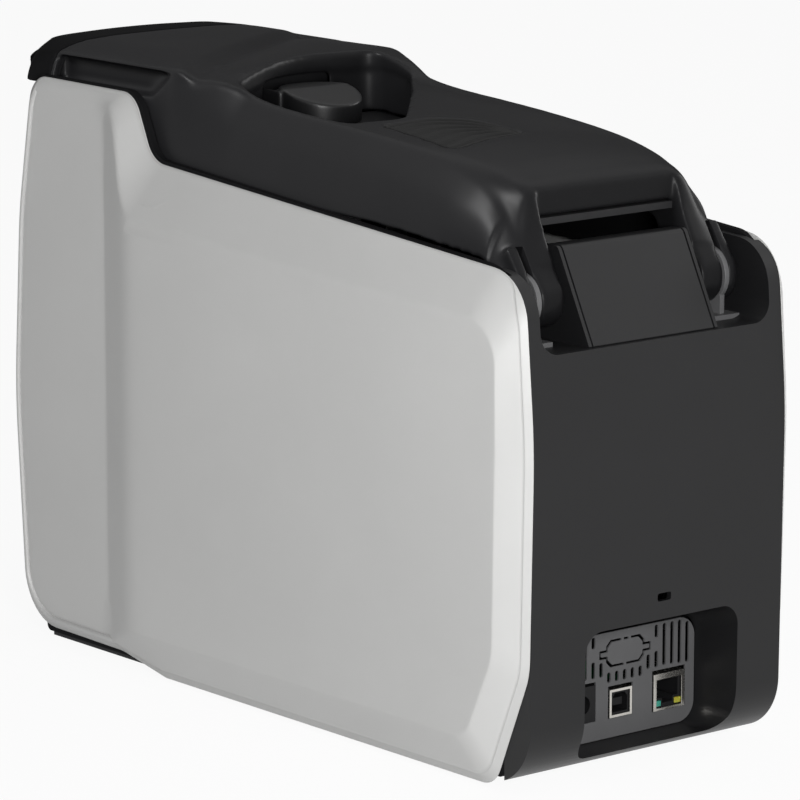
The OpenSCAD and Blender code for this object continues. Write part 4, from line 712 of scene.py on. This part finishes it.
def lidSection(y, inside):
    narrow = smoothStep((y - lid["tailY"]) / 27)
    xe = edgeWidth(y) * (1 - narrow) + lid["tailHalf"] * narrow - inside
    ze = edgeLine(y)
    xs, zs = shoulderWidth(y) - 0.8 * inside, shoulderLine(y) - 0.6 * inside
    xt, zt, zc = lid["railX"] - 0.5 * inside, railLine(y) - inside, crownLine(y) - inside
    mix = lambda a, b, t: a * (1 - t) + b * t
    halfPoints = [(xe, ze)] + [(mix(xe, xs, u), mix(ze, zs, v)) for u, v in lid["sideBlend"]]
    halfPoints += [(xs, zs), (mix(xs, xt, 0.45), mix(zs, zt, 0.66)), (xt, zt)]
    halfPoints += [(xt * u, mix(zt, zc, v)) for u, v in lid["crownBlend"]] + [(0, zc)]
    points = [(-x, z) for x, z in halfPoints] + [(x, z) for x, z in halfPoints[-2::-1]]
    curve = flowingCurve(points, 5)
    ring = np.column_stack([curve[:, 0], np.full(len(curve), y), curve[:, 1]])
    if lid["seam"] < y < -30:
        for p in ring:
            p[2] -= creaseDrop(p[0], y) * smoothStep((p[2] - (top - 12)) / 6)  # fades out down the sides
    return ring


def stations(low, high):
    # closer where the surface turns quickly
    fine = [y for y in np.arange(low, high, lid["step"] / 2) if -84 < y < -56 or y > 138 or y < -165]
    coarse = [y for y in np.arange(low, high, lid["step"])]
    return sorted(set(np.round(fine + coarse + [high], 2)))


def lidShell(name, outside, inside, low, high):
    return loft(name, [np.vstack([lidSection(y, outside), lidSection(y, inside)[::-1]])
                       for y in stations(low, high)])


def lidBody(name, inside, low, high):
    return loft(name, [lidSection(y, inside) for y in stations(low, high)])


def grown(corners, centre, amount):
    out = []
    for x, y, radius in corners:
        away = unit(np.array([x, y]) - np.array(centre))
        out.append((x + amount * away[0], y + amount * away[1], radius + amount))
    return out


linerTop = lambda y: edgeLine(y) + lid["linerRise"]


def pocketWall():
    # wall of the finger pocket, trimmed under the lid's skin and above the liner
    wall = prism("pocketWall", roundedOutline(grown(lid["pocket"], lid["pocketCentre"], lid["pocketWall"])),
                 "z", 225, 290)
    low, high = linerTop(-62) + 1.6, linerTop(80)
    under = prism("under", [(-90, 150), (90, 150), (90, high), (-90, low)], "x", -70, 70)
    fore, aft = lid["leverRun"]
    ways = [block("leverWay", (-half, fore, 200), (half, aft, height)) for half, height in lid["leverWays"]]
    combine(wall, [lidBody("skin", 0.8, -80, 70)], "INTERSECT")
    inside = prism("inside", roundedOutline(lid["pocket"]), "z", 200, 320)
    # below the rim band the wall steps back
    ledge = prism("ledge", roundedOutline(grown(lid["pocket"], lid["pocketCentre"], lid["ledgeStep"])),
                  "z", 200, 320)
    combine(ledge, [underSkin("skin", lid["pocketLedge"], -80, 70)], "INTERSECT")
    return combine(wall, [inside, ledge, under] + ways)


def recessTool(name, grow):
    # space under the brim: a flat floor and roof, and a rear end that leans back with a wide inner fillet
    foot, head = np.array(lid["recessFoot"], float), np.array(lid["recessHead"], float)
    along = unit(head - foot)
    across = np.array([-along[1], along[0]])
    x = lid["recessX"] - grow
    plan = roundedOutline([(x, 110, 0), (x, -grow, lid["recessFillet"] + grow), (84, -grow, 0),
                           (84, 110, 0)], 20)
    rings = []
    for reach in (-95, 60):
        line = foot + along * reach
        rings.append([(u, line[0] + across[0] * m, line[1] + across[1] * m) for u, m in plan])
    tool = loft(name, rings)
    room = block("room", (x - 1, lid["recessFront"] - grow, lid["recessFloor"] - grow),
                 (84, -50, top - lid["brimDrop"] + grow))
    return combine(tool, [room], "INTERSECT")


def beyondSkin(name, inside, low, high, far):
    # everything between the lid's skin and a level far below or above it
    rings = []
    for y in stations(low, high):
        ring = lidSection(y, inside)
        rings.append(np.vstack([[(ring[0][0], y, far)], ring, [(ring[-1][0], y, far)]]))
    return loft(name, rings)


underSkin = lambda name, inside, low, high: beyondSkin(name, inside, low, high, 150)


def makeLid():
    obj = lidShell("lidShell", 0, lid["wall"], lid["seam"] + 0.3, lid["end"])
    surface = nearestSurface(obj)
    ax0, ax1, ax2, ax3 = lid["arms"]
    hingeY, hingeZ = lid["hinge"]
    pocket = prism("pocket", roundedOutline(lid["pocket"]), "z", 180, 320)
    right = recessTool("recess", 0)
    left = mirrored(right, "recessLeft")
    gripRoom = prism("gripRoom", roundedOutline(grown(lid["grip"], lid["gripCentre"], lid["gripGap"])),
                     "z", 200, 320)
    combine(gripRoom, [beyondSkin("above", lid["gripDepth"] + 0.1, 38, 104, 330)], "INTERSECT")
    combine(obj, [pocket, right, left, gripRoom,
                  block("behind", (-ax0, lid["lipY"], 150), (ax0, 200, 320))])
    print("lid shell cut")
    extras = [pocketWall()]
    # a dust wall closes the lever's way off from the lid's hollow
    wide, y, base = lid["dustHalf"], lid["dustY"], linerTop(-62) + 1.6
    extras.append(block("dustWall", (-wide, y, base - 3.1), (wide, y + lid["dustWall"], top - 5.5)))
    extras.append(block("dustWallEnd", (wide - lid["dustWall"], y, base), (wide, -43, top - 6)))
    wall = recessTool("recessWall", lid["brimWall"])
    combine(wall, [recessTool("room", 0)])
    combine(wall, [lidBody("skin", 0.3, lid["seam"] + 1, -40)], "INTERSECT")
    extras += [wall, mirrored(wall, "recessWallLeft")]
    rear = [(156.5, shoulderLine(157) - 0.5), (hingeY + lid["knuckle"] * 0.8, hingeZ + 7), (hingeY, hingeZ),
            (hingeY - lid["knuckle"], hingeZ), (150, 216)]
    fore = [(112, linerTop(112)), (140, hingeZ + 22), (146.5, hingeZ), (157, hingeZ), (157, 300), (112, 300)]
    for side in (1, -1):
        for low, high in ((ax0, ax1), (ax2, ax3)):
            span = spanAt(side, low, high)
            extras.append(combine(prism("armFore", fore, "x", *span), [underSkin("skin", 0.5, 105, 158)],
                                  "INTERSECT"))
            extras.append(prism("armRear", rear, "x", *span))
            extras.append(rod("knuckle", "x", (hingeY, hingeZ), lid["knuckle"], *span))
        (low, high), (fore0, fore1) = spanAt(side, *lid["lugs"]), lid["lugRun"]
        extras.append(block("barLug", (low, fore0, 260), (high, fore1, top - 4)))
    lipY = lid["lipY"]
    extras.append(block("lip", (-ax0, lipY - lid["lipThick"], linerTop(148) + 0.8),
                        (ax0, lipY, railLine(lipY) - 0.5)))
    obj = moulded(joined(obj, extras), lid["voxel"], 3, surface)
    print("lid moulded:", len(obj.data.polygons))
    obj.name = "lidShell"
    tools = []
    for side in (1, -1):
        low, high = spanAt(side, ax1, ax2)
        tools.append(block("slot", (low, 138, hingeZ - 16), (high, 180, lid["slotTop"])))
        tools.append(rod("bore", "x", (hingeY, hingeZ), lid["pin"], *spanAt(side, ax0 - 1, ax3 + 1)))
    tools.append(block("floorRoom", (-100, 140, 150), (100, 200, hingeZ - lid["knuckle"] + 0.01)))
    combine(obj, tools)
    return obj


lidPiece = makeLid()
dress(lidPiece, finish["sparkTexturedBlackAbs"], "lid", "black_shell", "top_cover")

grip = {"voxel": 0.55, "sunk": 0.1, "groove": 0.95, "ribHalf": 0.75, "ribFlank": 1.3, "meet": (1.5, 95),
        # each rib starts at its first point and bows towards its second
        "ribs": [((34, 56), (-6, 50)), ((35.6, 67), (3, 60)), ((37, 77), (8, 70)), ((38.4, 87), (12, 78)),
                 ((39.6, 97), (15, 87))]}


def gripSkin(points):
    # height of the lid's skin over each point, read from a grid of cross-sections
    ys, xs = np.arange(44, 108, 1.0), np.arange(-8, 48, 1.0)
    grid = np.array([np.interp(xs, *lidSection(y, 0)[:, [0, 2]].T) for y in ys])
    u = np.clip(points[:, 0] - xs[0], 0, len(xs) - 1.01)
    v = np.clip(points[:, 1] - ys[0], 0, len(ys) - 1.01)
    i, j = u.astype(int), v.astype(int)
    s, t = u - i, v - j
    return ((grid[j, i] * (1 - s) + grid[j, i + 1] * s) * (1 - t)
            + (grid[j + 1, i] * (1 - s) + grid[j + 1, i + 1] * s) * t)


def ribDepth(points, p):
    # five ribs start along the near border and run together at the far corner, with grooves between
    s = np.linspace(0, 1, 48)[:, None]
    away = np.full(len(points), 99.0)
    for start, bow in p["ribs"]:
        line = (1 - s) ** 2 * np.array(start) + 2 * s * (1 - s) * np.array(bow) + s * s * np.array(p["meet"])
        for place in line:
            away = np.minimum(away, np.hypot(points[:, 0] - place[0], points[:, 1] - place[1]))
    return p["groove"] * smoothStep((away - p["ribHalf"]) / p["ribFlank"])


def inset(points, outline, margin):
    # 1 well inside the outline, falling to 0 at its border
    away = np.full(len(points), 99.0)
    for a, b in zip(outline, np.roll(outline, -1, axis=0)):
        along = unit(b - a)
        u = np.clip((points[:, :2] - a) @ along, 0, np.linalg.norm(b - a))
        away = np.minimum(away, np.linalg.norm(points[:, :2] - a - u[:, None] * along, axis=1))
    return smoothStep((away - 1) / margin)


def makeGrip():
    obj = prism("gripPad", roundedOutline(lid["grip"]), "z", 225, 300)
    combine(obj, [underSkin("skin", grip["sunk"], 40, 110)], "INTERSECT")
    combine(obj, [underSkin("skin", lid["gripDepth"], 40, 110)])
    moulded(obj, grip["voxel"], 2)
    points = meshPoints(obj) / mm
    upper = smoothStep(1 - (gripSkin(points) - points[:, 2]) / lid["gripDepth"])
    points[:, 2] -= upper * ribDepth(points, grip) * inset(points, roundedOutline(lid["grip"], 6, 4), 1.5)
    setPoints(obj, points * mm)
    return obj


dress(makeGrip(), finish["mattElastomer"], "lid", "rubber_black", "grip_pad")
print("grip made")


hoodPlate = {"voxel": 0.8, "floorRise": 1.5, "nose": 3, "hold": 0.4,
             "lip": (0.15, 1.8), "lipRun": (-5, 4)}  # depths below the wall, and run from the seam


def makeHood(p):
    ys = stations(front, lid["seam"])
    outer = [lidSection(y, 0) for y in ys]
    inner = [lidSection(y, lid["wall"]) for y in reversed(ys) if y > front + p["nose"]]
    for ring in inner:
        ring[:, 2] = np.maximum(ring[:, 2], edgeLine(ring[0][1]) + p["floorRise"])
    obj = loft("hoodPlate", outer + inner)
    surface = nearestSurface(obj)
    # a lip reaches under the lid's front edge, so no light passes the seam
    lip = lidShell("seamLip", *(lid["wall"] + depth for depth in p["lip"]),
                   *(lid["seam"] + run for run in p["lipRun"]))
    return moulded(joined(obj, [lip]), p["voxel"], 3, surface, p["hold"])


hood = makeHood(hoodPlate)
dress(hood, finish["satinBlackAbs"], "lid", "dark_trim", "hood_trim")
print("hood moulded:", len(hood.data.polygons))


# release lever in the lid's pocket; its pivot is (Y, Z)
lever = {"pivot": (-52, 251), "radius": 18.5, "centre": -36.5, "base": 247, "top": 262.3, "lowEnd": 256,
         "wall": 2.5, "pin": 1.5, "arms": (16, 20), "voxel": 0.55}


def makeLever(p):
    # round thumb lever, its top cut obliquely towards the rear, hollow underneath
    y, z = p["pivot"]
    tip = p["centre"] + p["radius"]
    obj = rod("releaseLever", "z", (0, p["centre"]), p["radius"], p["base"], p["top"], 96)
    side = [(y - 2, p["base"] - 1), (tip + 1, p["base"] - 1), (tip + 1, p["lowEnd"]), (y + 12, p["top"]),
            (y - 2, p["top"])]
    combine(obj, [prism("keep", side, "x", -p["radius"] - 1, p["radius"] + 1)], "INTERSECT")
    combine(obj, [rod("hollow", "z", (0, p["centre"]), p["radius"] - p["wall"], p["base"] - 1,
                      p["lowEnd"] - 3, 96)])
    extras = [rod("leverPin", "x", p["pivot"], p["pin"], -27, 27, 24)]
    for side in (1, -1):
        low, high = spanAt(side, *p["arms"])
        extras.append(block("leverArm", (low, y - 2, z - 3), (high, y + 12, p["top"] - 1)))
    return moulded(joined(obj, extras), p["voxel"], 4)


dress(makeLever(lever), finish["satinCharcoalAbs"], "release_lever", "dark_trim", "release_lever")


# rear cover and the sloped cover between the hinge arms
coverHigh = cornersOf("rear_cover")[1]
cover = {"halfWidth": coverHigh[0], "rear": coverHigh[1], "base": 3, "front": 150, "corner": 26,
         "spineZ": 146, "top": 215, "wall": 2.5, "frame": 3, "edge": 0.9,
         "pocket": (63, 182, 9), "pocketFront": 141,  # hinge pocket: half width, floor and radius
         "bay": (-45, 40, 9, 66), "bayDepth": 28, "bayRadius": 9, "bayDrop": 11,  # X from, to, base, top
         "lock": (-3, 74), "lockSize": (7.5, 3.4, 1),
         # room cut at the fore edge: lips as (Y, Z) limits, the side frames and the roof up to a Y
         "fore": 140, "lips": ((156, 80), (170, 178)), "frameEnd": 170, "roofEnd": 150.5}


def coverOutline(d, p):
    rear, top = p["rear"], p["top"]
    return roundedOutline([(p["front"] - 4, p["base"] + d, 1),
                           (rear - 2 - d, p["base"] + d, p["corner"] - d),
                           (rear - 0.3 - d, p["spineZ"], 300), (rear - 6 - d, top - 1 - d, 20 - d),
                           (p["front"] - 4, top + 1 - d, 1)], 16)


def bayOutline(d, high, p):
    x0, x1, base = p["bay"][:3]
    r = p["bayRadius"] + d
    return roundedOutline([(x0 - d, base - d, r), (x1 + d, base - d, r), (x1 + d, high + d, r),
                           (x0 - d, high + d, r)], 10)


def bayWell(name, d, grow, p):
    # the port bay narrows from the rear face to the plate
    top = p["bay"][3]
    ends = ((p["rear"] + grow, top), (p["rear"] - p["bayDepth"] - grow, top - p["bayDrop"]))
    return loft(name, [[(x, y, z) for x, z in bayOutline(d, high, p)] for y, high in ends], False)


def makeCover(p):
    wide, rear, frameX, away = p["halfWidth"], p["rear"], p["halfWidth"] - p["frame"], 300
    px, pz, pr = p["pocket"]
    obj = prism("rearCover", coverOutline(0, p), "x", -wide, wide)
    pocketRoom = prism("pocketRoom", roundedOutline([(-px, pz, pr), (px, pz, pr), (px, away + 1, 0),
                                                     (-px, away + 1, 0)]), "y", p["pocketFront"], rear + 1)
    fore, end = p["fore"], p["frameEnd"]
    combine(obj, [prism("inside", coverOutline(p["wall"], p), "x", -frameX, frameX)]
            + [block("lipRoom", (-wide - 1, fore, 0), (wide + 1, y, z)) for y, z in p["lips"]]
            + [block("rightFrame", (frameX, fore, 0), (wide + 1, end, away)),
               block("leftFrame", (-wide - 1, fore, 0), (-frameX, end, away))])
    walls = block("pocketWalls", (-frameX, p["pocketFront"] - p["wall"], pz - p["wall"]),
                  (frameX, rear, away))
    combine(walls, [prism("within", coverOutline(0.5, p), "x", -frameX, frameX)], "INTERSECT")
    sleeve = bayWell("baySleeve", 2, 0, p)
    combine(sleeve, [prism("within", coverOutline(0.5, p), "x", -wide, wide)], "INTERSECT")
    combine(obj, [walls, sleeve], "UNION")
    combine(obj, [pocketRoom, bayWell("bay", 0, 3, p),
                  block("roofFront", (-wide, fore, p["top"] - 5), (wide, p["roofEnd"], away)),
                  prism("lockSlot", pill(*p["lockSize"], p["lock"]), "y", rear - 8, rear + 4)])
    softEdges(obj, p["edge"], 3, 40)
    return obj


dress(makeCover(cover), finish["satinCharcoalAbs"], "root", "black_shell", "rear_cover")

slope = {"half": 35.5, "head": (162, 221.5), "foot": (182, 182), "front": 149, "groove": (33, 33.9),
         "depth": 0.7, "corner": 3, "wall": 2, "edge": 0.55}


def slopeOutline(d, p):
    (headY, headZ), (footY, footZ) = p["head"], p["foot"]
    return roundedOutline([(p["front"], footZ, 1), (footY - 1.1 * d, footZ, 0.5),
                           (headY - 1.1 * d, headZ - d, p["corner"]),
                           (p["front"] + 1, headZ - 1 - d, p["corner"])], 8)


def makeSlope(p):
    # a fine groove runs down beside each side edge
    inner, outer = p["groove"]
    half = [(p["half"], 0), (outer, 0), (outer, p["depth"]), (inner, p["depth"]), (inner, 0)]
    spans = [(-x, d) for x, d in half] + [(x, d) for x, d in reversed(half)]
    obj = loft("hingeSlopeCover", [[(x, y, z) for y, z in slopeOutline(d, p)] for x, d in spans], False)
    room = [(p["front"] + 2.5, p["foot"][1] - 1), (p["foot"][0] - 2.4, p["foot"][1] - 1),
            (p["head"][0] - 2.2, p["head"][1] - 4), (p["front"] + 3.5, p["head"][1] - 4)]
    combine(obj, [prism("room", room, "x", -p["half"] + p["wall"], p["half"] - p["wall"])])
    softEdges(obj, p["edge"], 2, 40)
    return obj


dress(makeSlope(slope), finish["satinCharcoalAbs"], "root", "dark_trim", "hinge_cover")
print("rear covers made")


# port plate, its connectors' metal shells and the two network lights
plateHigh = cornersOf("port_plate")[1]
ports = {"rear": plateHigh[1], "thick": 0.8, "slotWidth": 2.1, "clear": 0.3,
         # socket openings as (X, Z, width, height)
         "openings": [(18, 26.1, 14.4, 17), (-3, 24.4, 13.8, 14), (-30.3, 25, 18.8, 17.8)],
         # vent slots as (X, lower end, upper end)
         "tall": [(16.8, 36, 53.8), (-27.6, 35.6, 53.8), (-32, 35.3, 53.8), (-36.3, 35, 53.8),
                  (-40.6, 34.8, 52.6)],
         "short": [(12.3, 36, 43.2), (12.3, 48.8, 53.8), (7.9, 36, 42.2), (3.5, 33, 37.5), (-0.9, 33, 37.5),
                   (-5.3, 33, 37.5), (-9.7, 33, 37.5), (-14.1, 33, 37.5), (-18.6, 35.4, 41.6),
                   (-23.1, 35.3, 42.4), (-23.1, 48.2, 53.8)],
         "blank": (-5.5, 45.4), "blankGroove": 0.5, "bridge": 1.3}


def blankOutline(g):
    # blank for a serial connector: body with chamfered corners and an ear at each side
    w, h, ear, e, c = 10.2 + g, 5.4 + g, 14 + g, 1.4 + g, 2.4
    half = [(w - c, -h), (w, c - h), (w, -e), (ear, -e), (ear, e), (w, e), (w, h - c), (w - c, h)]
    corners = half + [(-x, z) for x, z in reversed(half)]
    return roundedOutline([(x, z, 0.4) for x, z in corners], 3)


def makePlate(p, c):
    rear = p["rear"]
    outline = bayOutline(-p["clear"], c["bay"][3] - c["bayDrop"], c)
    obj = prism("portPlate", outline, "y", rear - p["thick"], rear)
    tools = [prism("slot", pill(p["slotWidth"], b - a, p["slotWidth"] / 2.1, (x, (a + b) / 2), 6), "y",
                   rear - 4, rear + 2) for x, a, b in p["tall"] + p["short"]]
    tools += [centred("opening", (x, z), (w, h), rear - 4, rear + 2) for x, z, w, h in p["openings"]]
    combine(obj, [joined(tools[0], tools[1:])])
    at = np.array(p["blank"])
    groove = prism("groove", blankOutline(p["blankGroove"]) + at, "y", rear - 3, rear + 1)
    bridges = [centred("bridge", at + shift, (p["bridge"], 4), rear - 5, rear + 5)
               for shift in ((-2.5, 5.4), (1.5, 5.4), (0, -5.4))]
    island = prism("island", blankOutline(-p["blankGroove"]) + at, "y", rear - 4, rear + 4)
    combine(groove, [island] + bridges)
    combine(obj, [groove])
    return obj


dress(makePlate(ports, cover), finish["powderCoatedSteel"], "root", "port_plate", "port_plate")

shells = {"sheet": 0.6, "proud": 0.4,
          # data and network sockets: middle (X, Z), and the mouth's left, right, base and top
          "data": {"at": (-3, 23.7), "size": (12.6, 12.2), "depth": 16, "mouth": (-8.1, 2.1, 18.8, 28.6)},
          "network": {"at": (-30.3, 24.2), "size": (17.6, 16), "depth": 20,
                      "mouth": (-37.4, -23.2, 17.3, 29.6)}}


def makeShell(p, q, rear):
    # folded sheet tube with a turned-in front face
    low, high, base, top = q["mouth"]
    obj = centred("tube", q["at"], q["size"], rear - q["depth"], rear + p["proud"])
    way = centred("way", q["at"], np.array(q["size"]) - 2 * p["sheet"], rear - q["depth"] - 1, rear - 0.2)
    return combine(obj, [way, block("mouth", (low, rear - 5, base), (high, rear + 5, top))])


metalShells, other = (makeShell(shells, shells[socket], ports["rear"]) for socket in ("data", "network"))
joined(metalShells, [other]).name = "portShells"
softEdges(metalShells, 0.12, 2)
dress(metalShells, finish["nickelPlatedShell"], "root", "plated_shell", "port_shells")

lights = {"size": (3.4, 2.4), "z": 19, "places": {"green": -24.7, "amber": -35.9}, "depth": 5.6, "sunk": 0.4}
for tint, x in lights["places"].items():
    lens = centred(tint + "NetworkLight", (x, lights["z"]), lights["size"], ports["rear"] - lights["depth"],
                   ports["rear"] - lights["sunk"])
    softEdges(lens, 0.2, 2)
    dress(lens, finish[tint + "Lens"], "root", "light_lens", "lan_lights")
print("ports made")


# carried-over pieces: their own material and small edge radii
cadFinish = {  # finish: {edge radius in mm: nodes}
    "glassFilledNylon": {0.5: "base_pan lid_liner output_tray",
                         0.4: "input_hopper card_weight head_carriage", 0.3: "fan_frame"},
    "groundRubber": {0.5: "rubber_feet",
                     0.3: "platen_roller feed_roller_front feed_roller_rear pick_roller"},
    "satinBlackAbs": {0.4: "side_frame_right side_frame_left"},
    "socketNylon": {0.3: "dc_jack", 0.15: "port_inserts fan_rotor"},
    "solderMaskBoard": {0.1: "main_board panel_board"},
    "zincPlatedSheet": {0.2: "latch_hooks chassis_plates", 0.5: "feed_motor", 0.15: "chassis_screws"},
    "paintedSteel": {0.2: "hinge_brackets"},
    "groundSteel": {0.3: "hinge_pins", 0.12: "platen_shaft feed_shaft_front feed_shaft_rear pick_shaft",
                    0.25: "pinch_roller_front pinch_roller_rear", 0: "head_springs"},
    "sparkTexturedBlackAbs": {0.5: "front_fascia", 0.4: "hopper_door"},
    "tintedAcrylic": {0.3: "display_window"},
    "paintedKey": {0.3: "power_key menu_key select_key"},
    "pvcCards": {0.12: "card_stack"},
    "acetalGear": {0.12: "idler_gear_pick idler_gear_front idler_gear_rear"},
    "turnedBrass": {0.1: "motor_pinion"},
    "dyeRibbon": {0.3: "supply_spool takeup_spool", 0: "ribbon_film"},
    "cartridgeStyrene": {0.4: "ribbon_cartridge"},
    "extrudedAluminium": {0.2: "printhead"},
}
carried = [(finish[key], radius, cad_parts[name]) for key, groups in cadFinish.items()
           for radius, names in groups.items() for name in names.split()]
for material, radius, node in carried:
    for slot in node.material_slots:
        slot.material = material
    if radius:
        softEdges(node, radius, 2)
print("carried-over pieces dressed:", len(carried))


# floor, light and background, in metres and watts
studio = {"floorSize": 40, "floor": "#F4F4F4", "floorGlow": 0.93, "ambient": 0.23, "aim": (0.05, 0.03, 0.13),
          "keyPower": 24, "keySize": (0.3, 0.4), "keyAt": (0.785, 1.305, 0.43),
          "fillPower": 13, "fillSize": (0.6, 1.0), "fillAt": (-2.0, 0.35, 0.7),
          "cardFrom": (-2.1, -0.1, 0.02), "cardTo": (0.5, -2.1, 1.3), "cardGlow": 0.1,
          "lidPower": 20, "lidSize": (0.3, 0.3), "lidAt": (0.8, 0.02, 1.16), "lidAim": (0.06, 0.14, 0.23)}


def areaLight(name, power, size, at, aim):
    data = bpy.data.lights.new(name, "AREA")
    data.shape = "RECTANGLE"
    data.energy = power
    data.size, data.size_y = size
    light = bpy.data.objects.new(name, data)
    scene.collection.objects.link(light)
    light.location = at
    light.rotation_euler = (Vector(at) - Vector(aim)).to_track_quat("Z", "Y").to_euler()
    return light


areaLight("keyPanel", studio["keyPower"], studio["keySize"], studio["keyAt"], studio["aim"])
areaLight("fillPanel", studio["fillPower"], studio["fillSize"], studio["fillAt"], studio["aim"])
sparkle = areaLight("lidPanel", studio["lidPower"], studio["lidSize"], studio["lidAt"], studio["lidAim"])
lidOnly = bpy.data.collections.new("litLid")  # this lamp lights the lid's shell alone
lidOnly.objects.link(lidPiece)
sparkle.light_linking.receiver_collection = lidOnly


def sheet(name, corners):
    return makeObject(name, np.array(corners) / mm, [(0, 1, 2, 3)], False)


def seenDirectly(tree):
    # 1 for camera, glossy and transmission rays, so metal and gloss see the same white as the camera
    ray = addNode(tree, "ShaderNodeLightPath")
    seen = ray.outputs["Is Camera Ray"]
    for other in ("Is Glossy Ray", "Is Transmission Ray"):
        either = addNode(tree, "ShaderNodeMath", {"operation": "MAXIMUM"}, {0: seen, 1: ray.outputs[other]})
        seen = either.outputs[0]
    return seen


half = studio["floorSize"] / 2
floor = sheet("studioFloor", [(-half, -half, 0), (half, -half, 0), (half, half, 0), (-half, half, 0)])
floorMaterial = bpy.data.materials.new("paleStudioFloor")
tree = emptyTree(floorMaterial)
paint = addNode(tree, "ShaderNodeBsdfPrincipled", {"Base Color": linear(studio["floor"]), "Roughness": 0.9,
                                                   "Specular IOR Level": 0.1})
glow = addNode(tree, "ShaderNodeEmission", {"Color": (1, 1, 1, 1), "Strength": 1.0})
share = addNode(tree, "ShaderNodeMath", {"operation": "MULTIPLY", 1: studio["floorGlow"]},
                {0: seenDirectly(tree)})
blend = addNode(tree, "ShaderNodeMixShader", None, {0: share.outputs[0], 1: paint.outputs["BSDF"],
                                                     2: glow.outputs["Emission"]})
addNode(tree, "ShaderNodeOutputMaterial", None, {"Surface": blend.outputs["Shader"]})
floor.data.materials.append(floorMaterial)

# dark card beyond the far corner, seen only in reflections: it keeps the top of the lid dark
low, high = studio["cardFrom"], studio["cardTo"]
card = sheet("darkCard", [low, (high[0], high[1], low[2]), high, (low[0], low[1], high[2])])
cardMaterial = bpy.data.materials.new("dullBlackCloth")
tree = emptyTree(cardMaterial)
cloth = addNode(tree, "ShaderNodeEmission", {"Color": (1, 1, 1, 1), "Strength": studio["cardGlow"]})
addNode(tree, "ShaderNodeOutputMaterial", None, {"Surface": cloth.outputs["Emission"]})
card.data.materials.append(cardMaterial)
for kind in ("camera", "diffuse", "shadow", "transmission"):
    setattr(card, "visible_" + kind, False)

world = bpy.data.worlds.new("paleSurroundings")
tree = emptyTree(world)
level = addNode(tree, "ShaderNodeMapRange", {"To Min": studio["ambient"], "To Max": 1.0},
                {"Value": seenDirectly(tree)})
backdrop = addNode(tree, "ShaderNodeBackground", {"Color": (1, 1, 1, 1)},
                   {"Strength": level.outputs["Result"]})
addNode(tree, "ShaderNodeOutputWorld", None, {"Surface": backdrop.outputs["Background"]})
scene.world = world
scene.view_settings.view_transform = "Standard"
print("studio set")
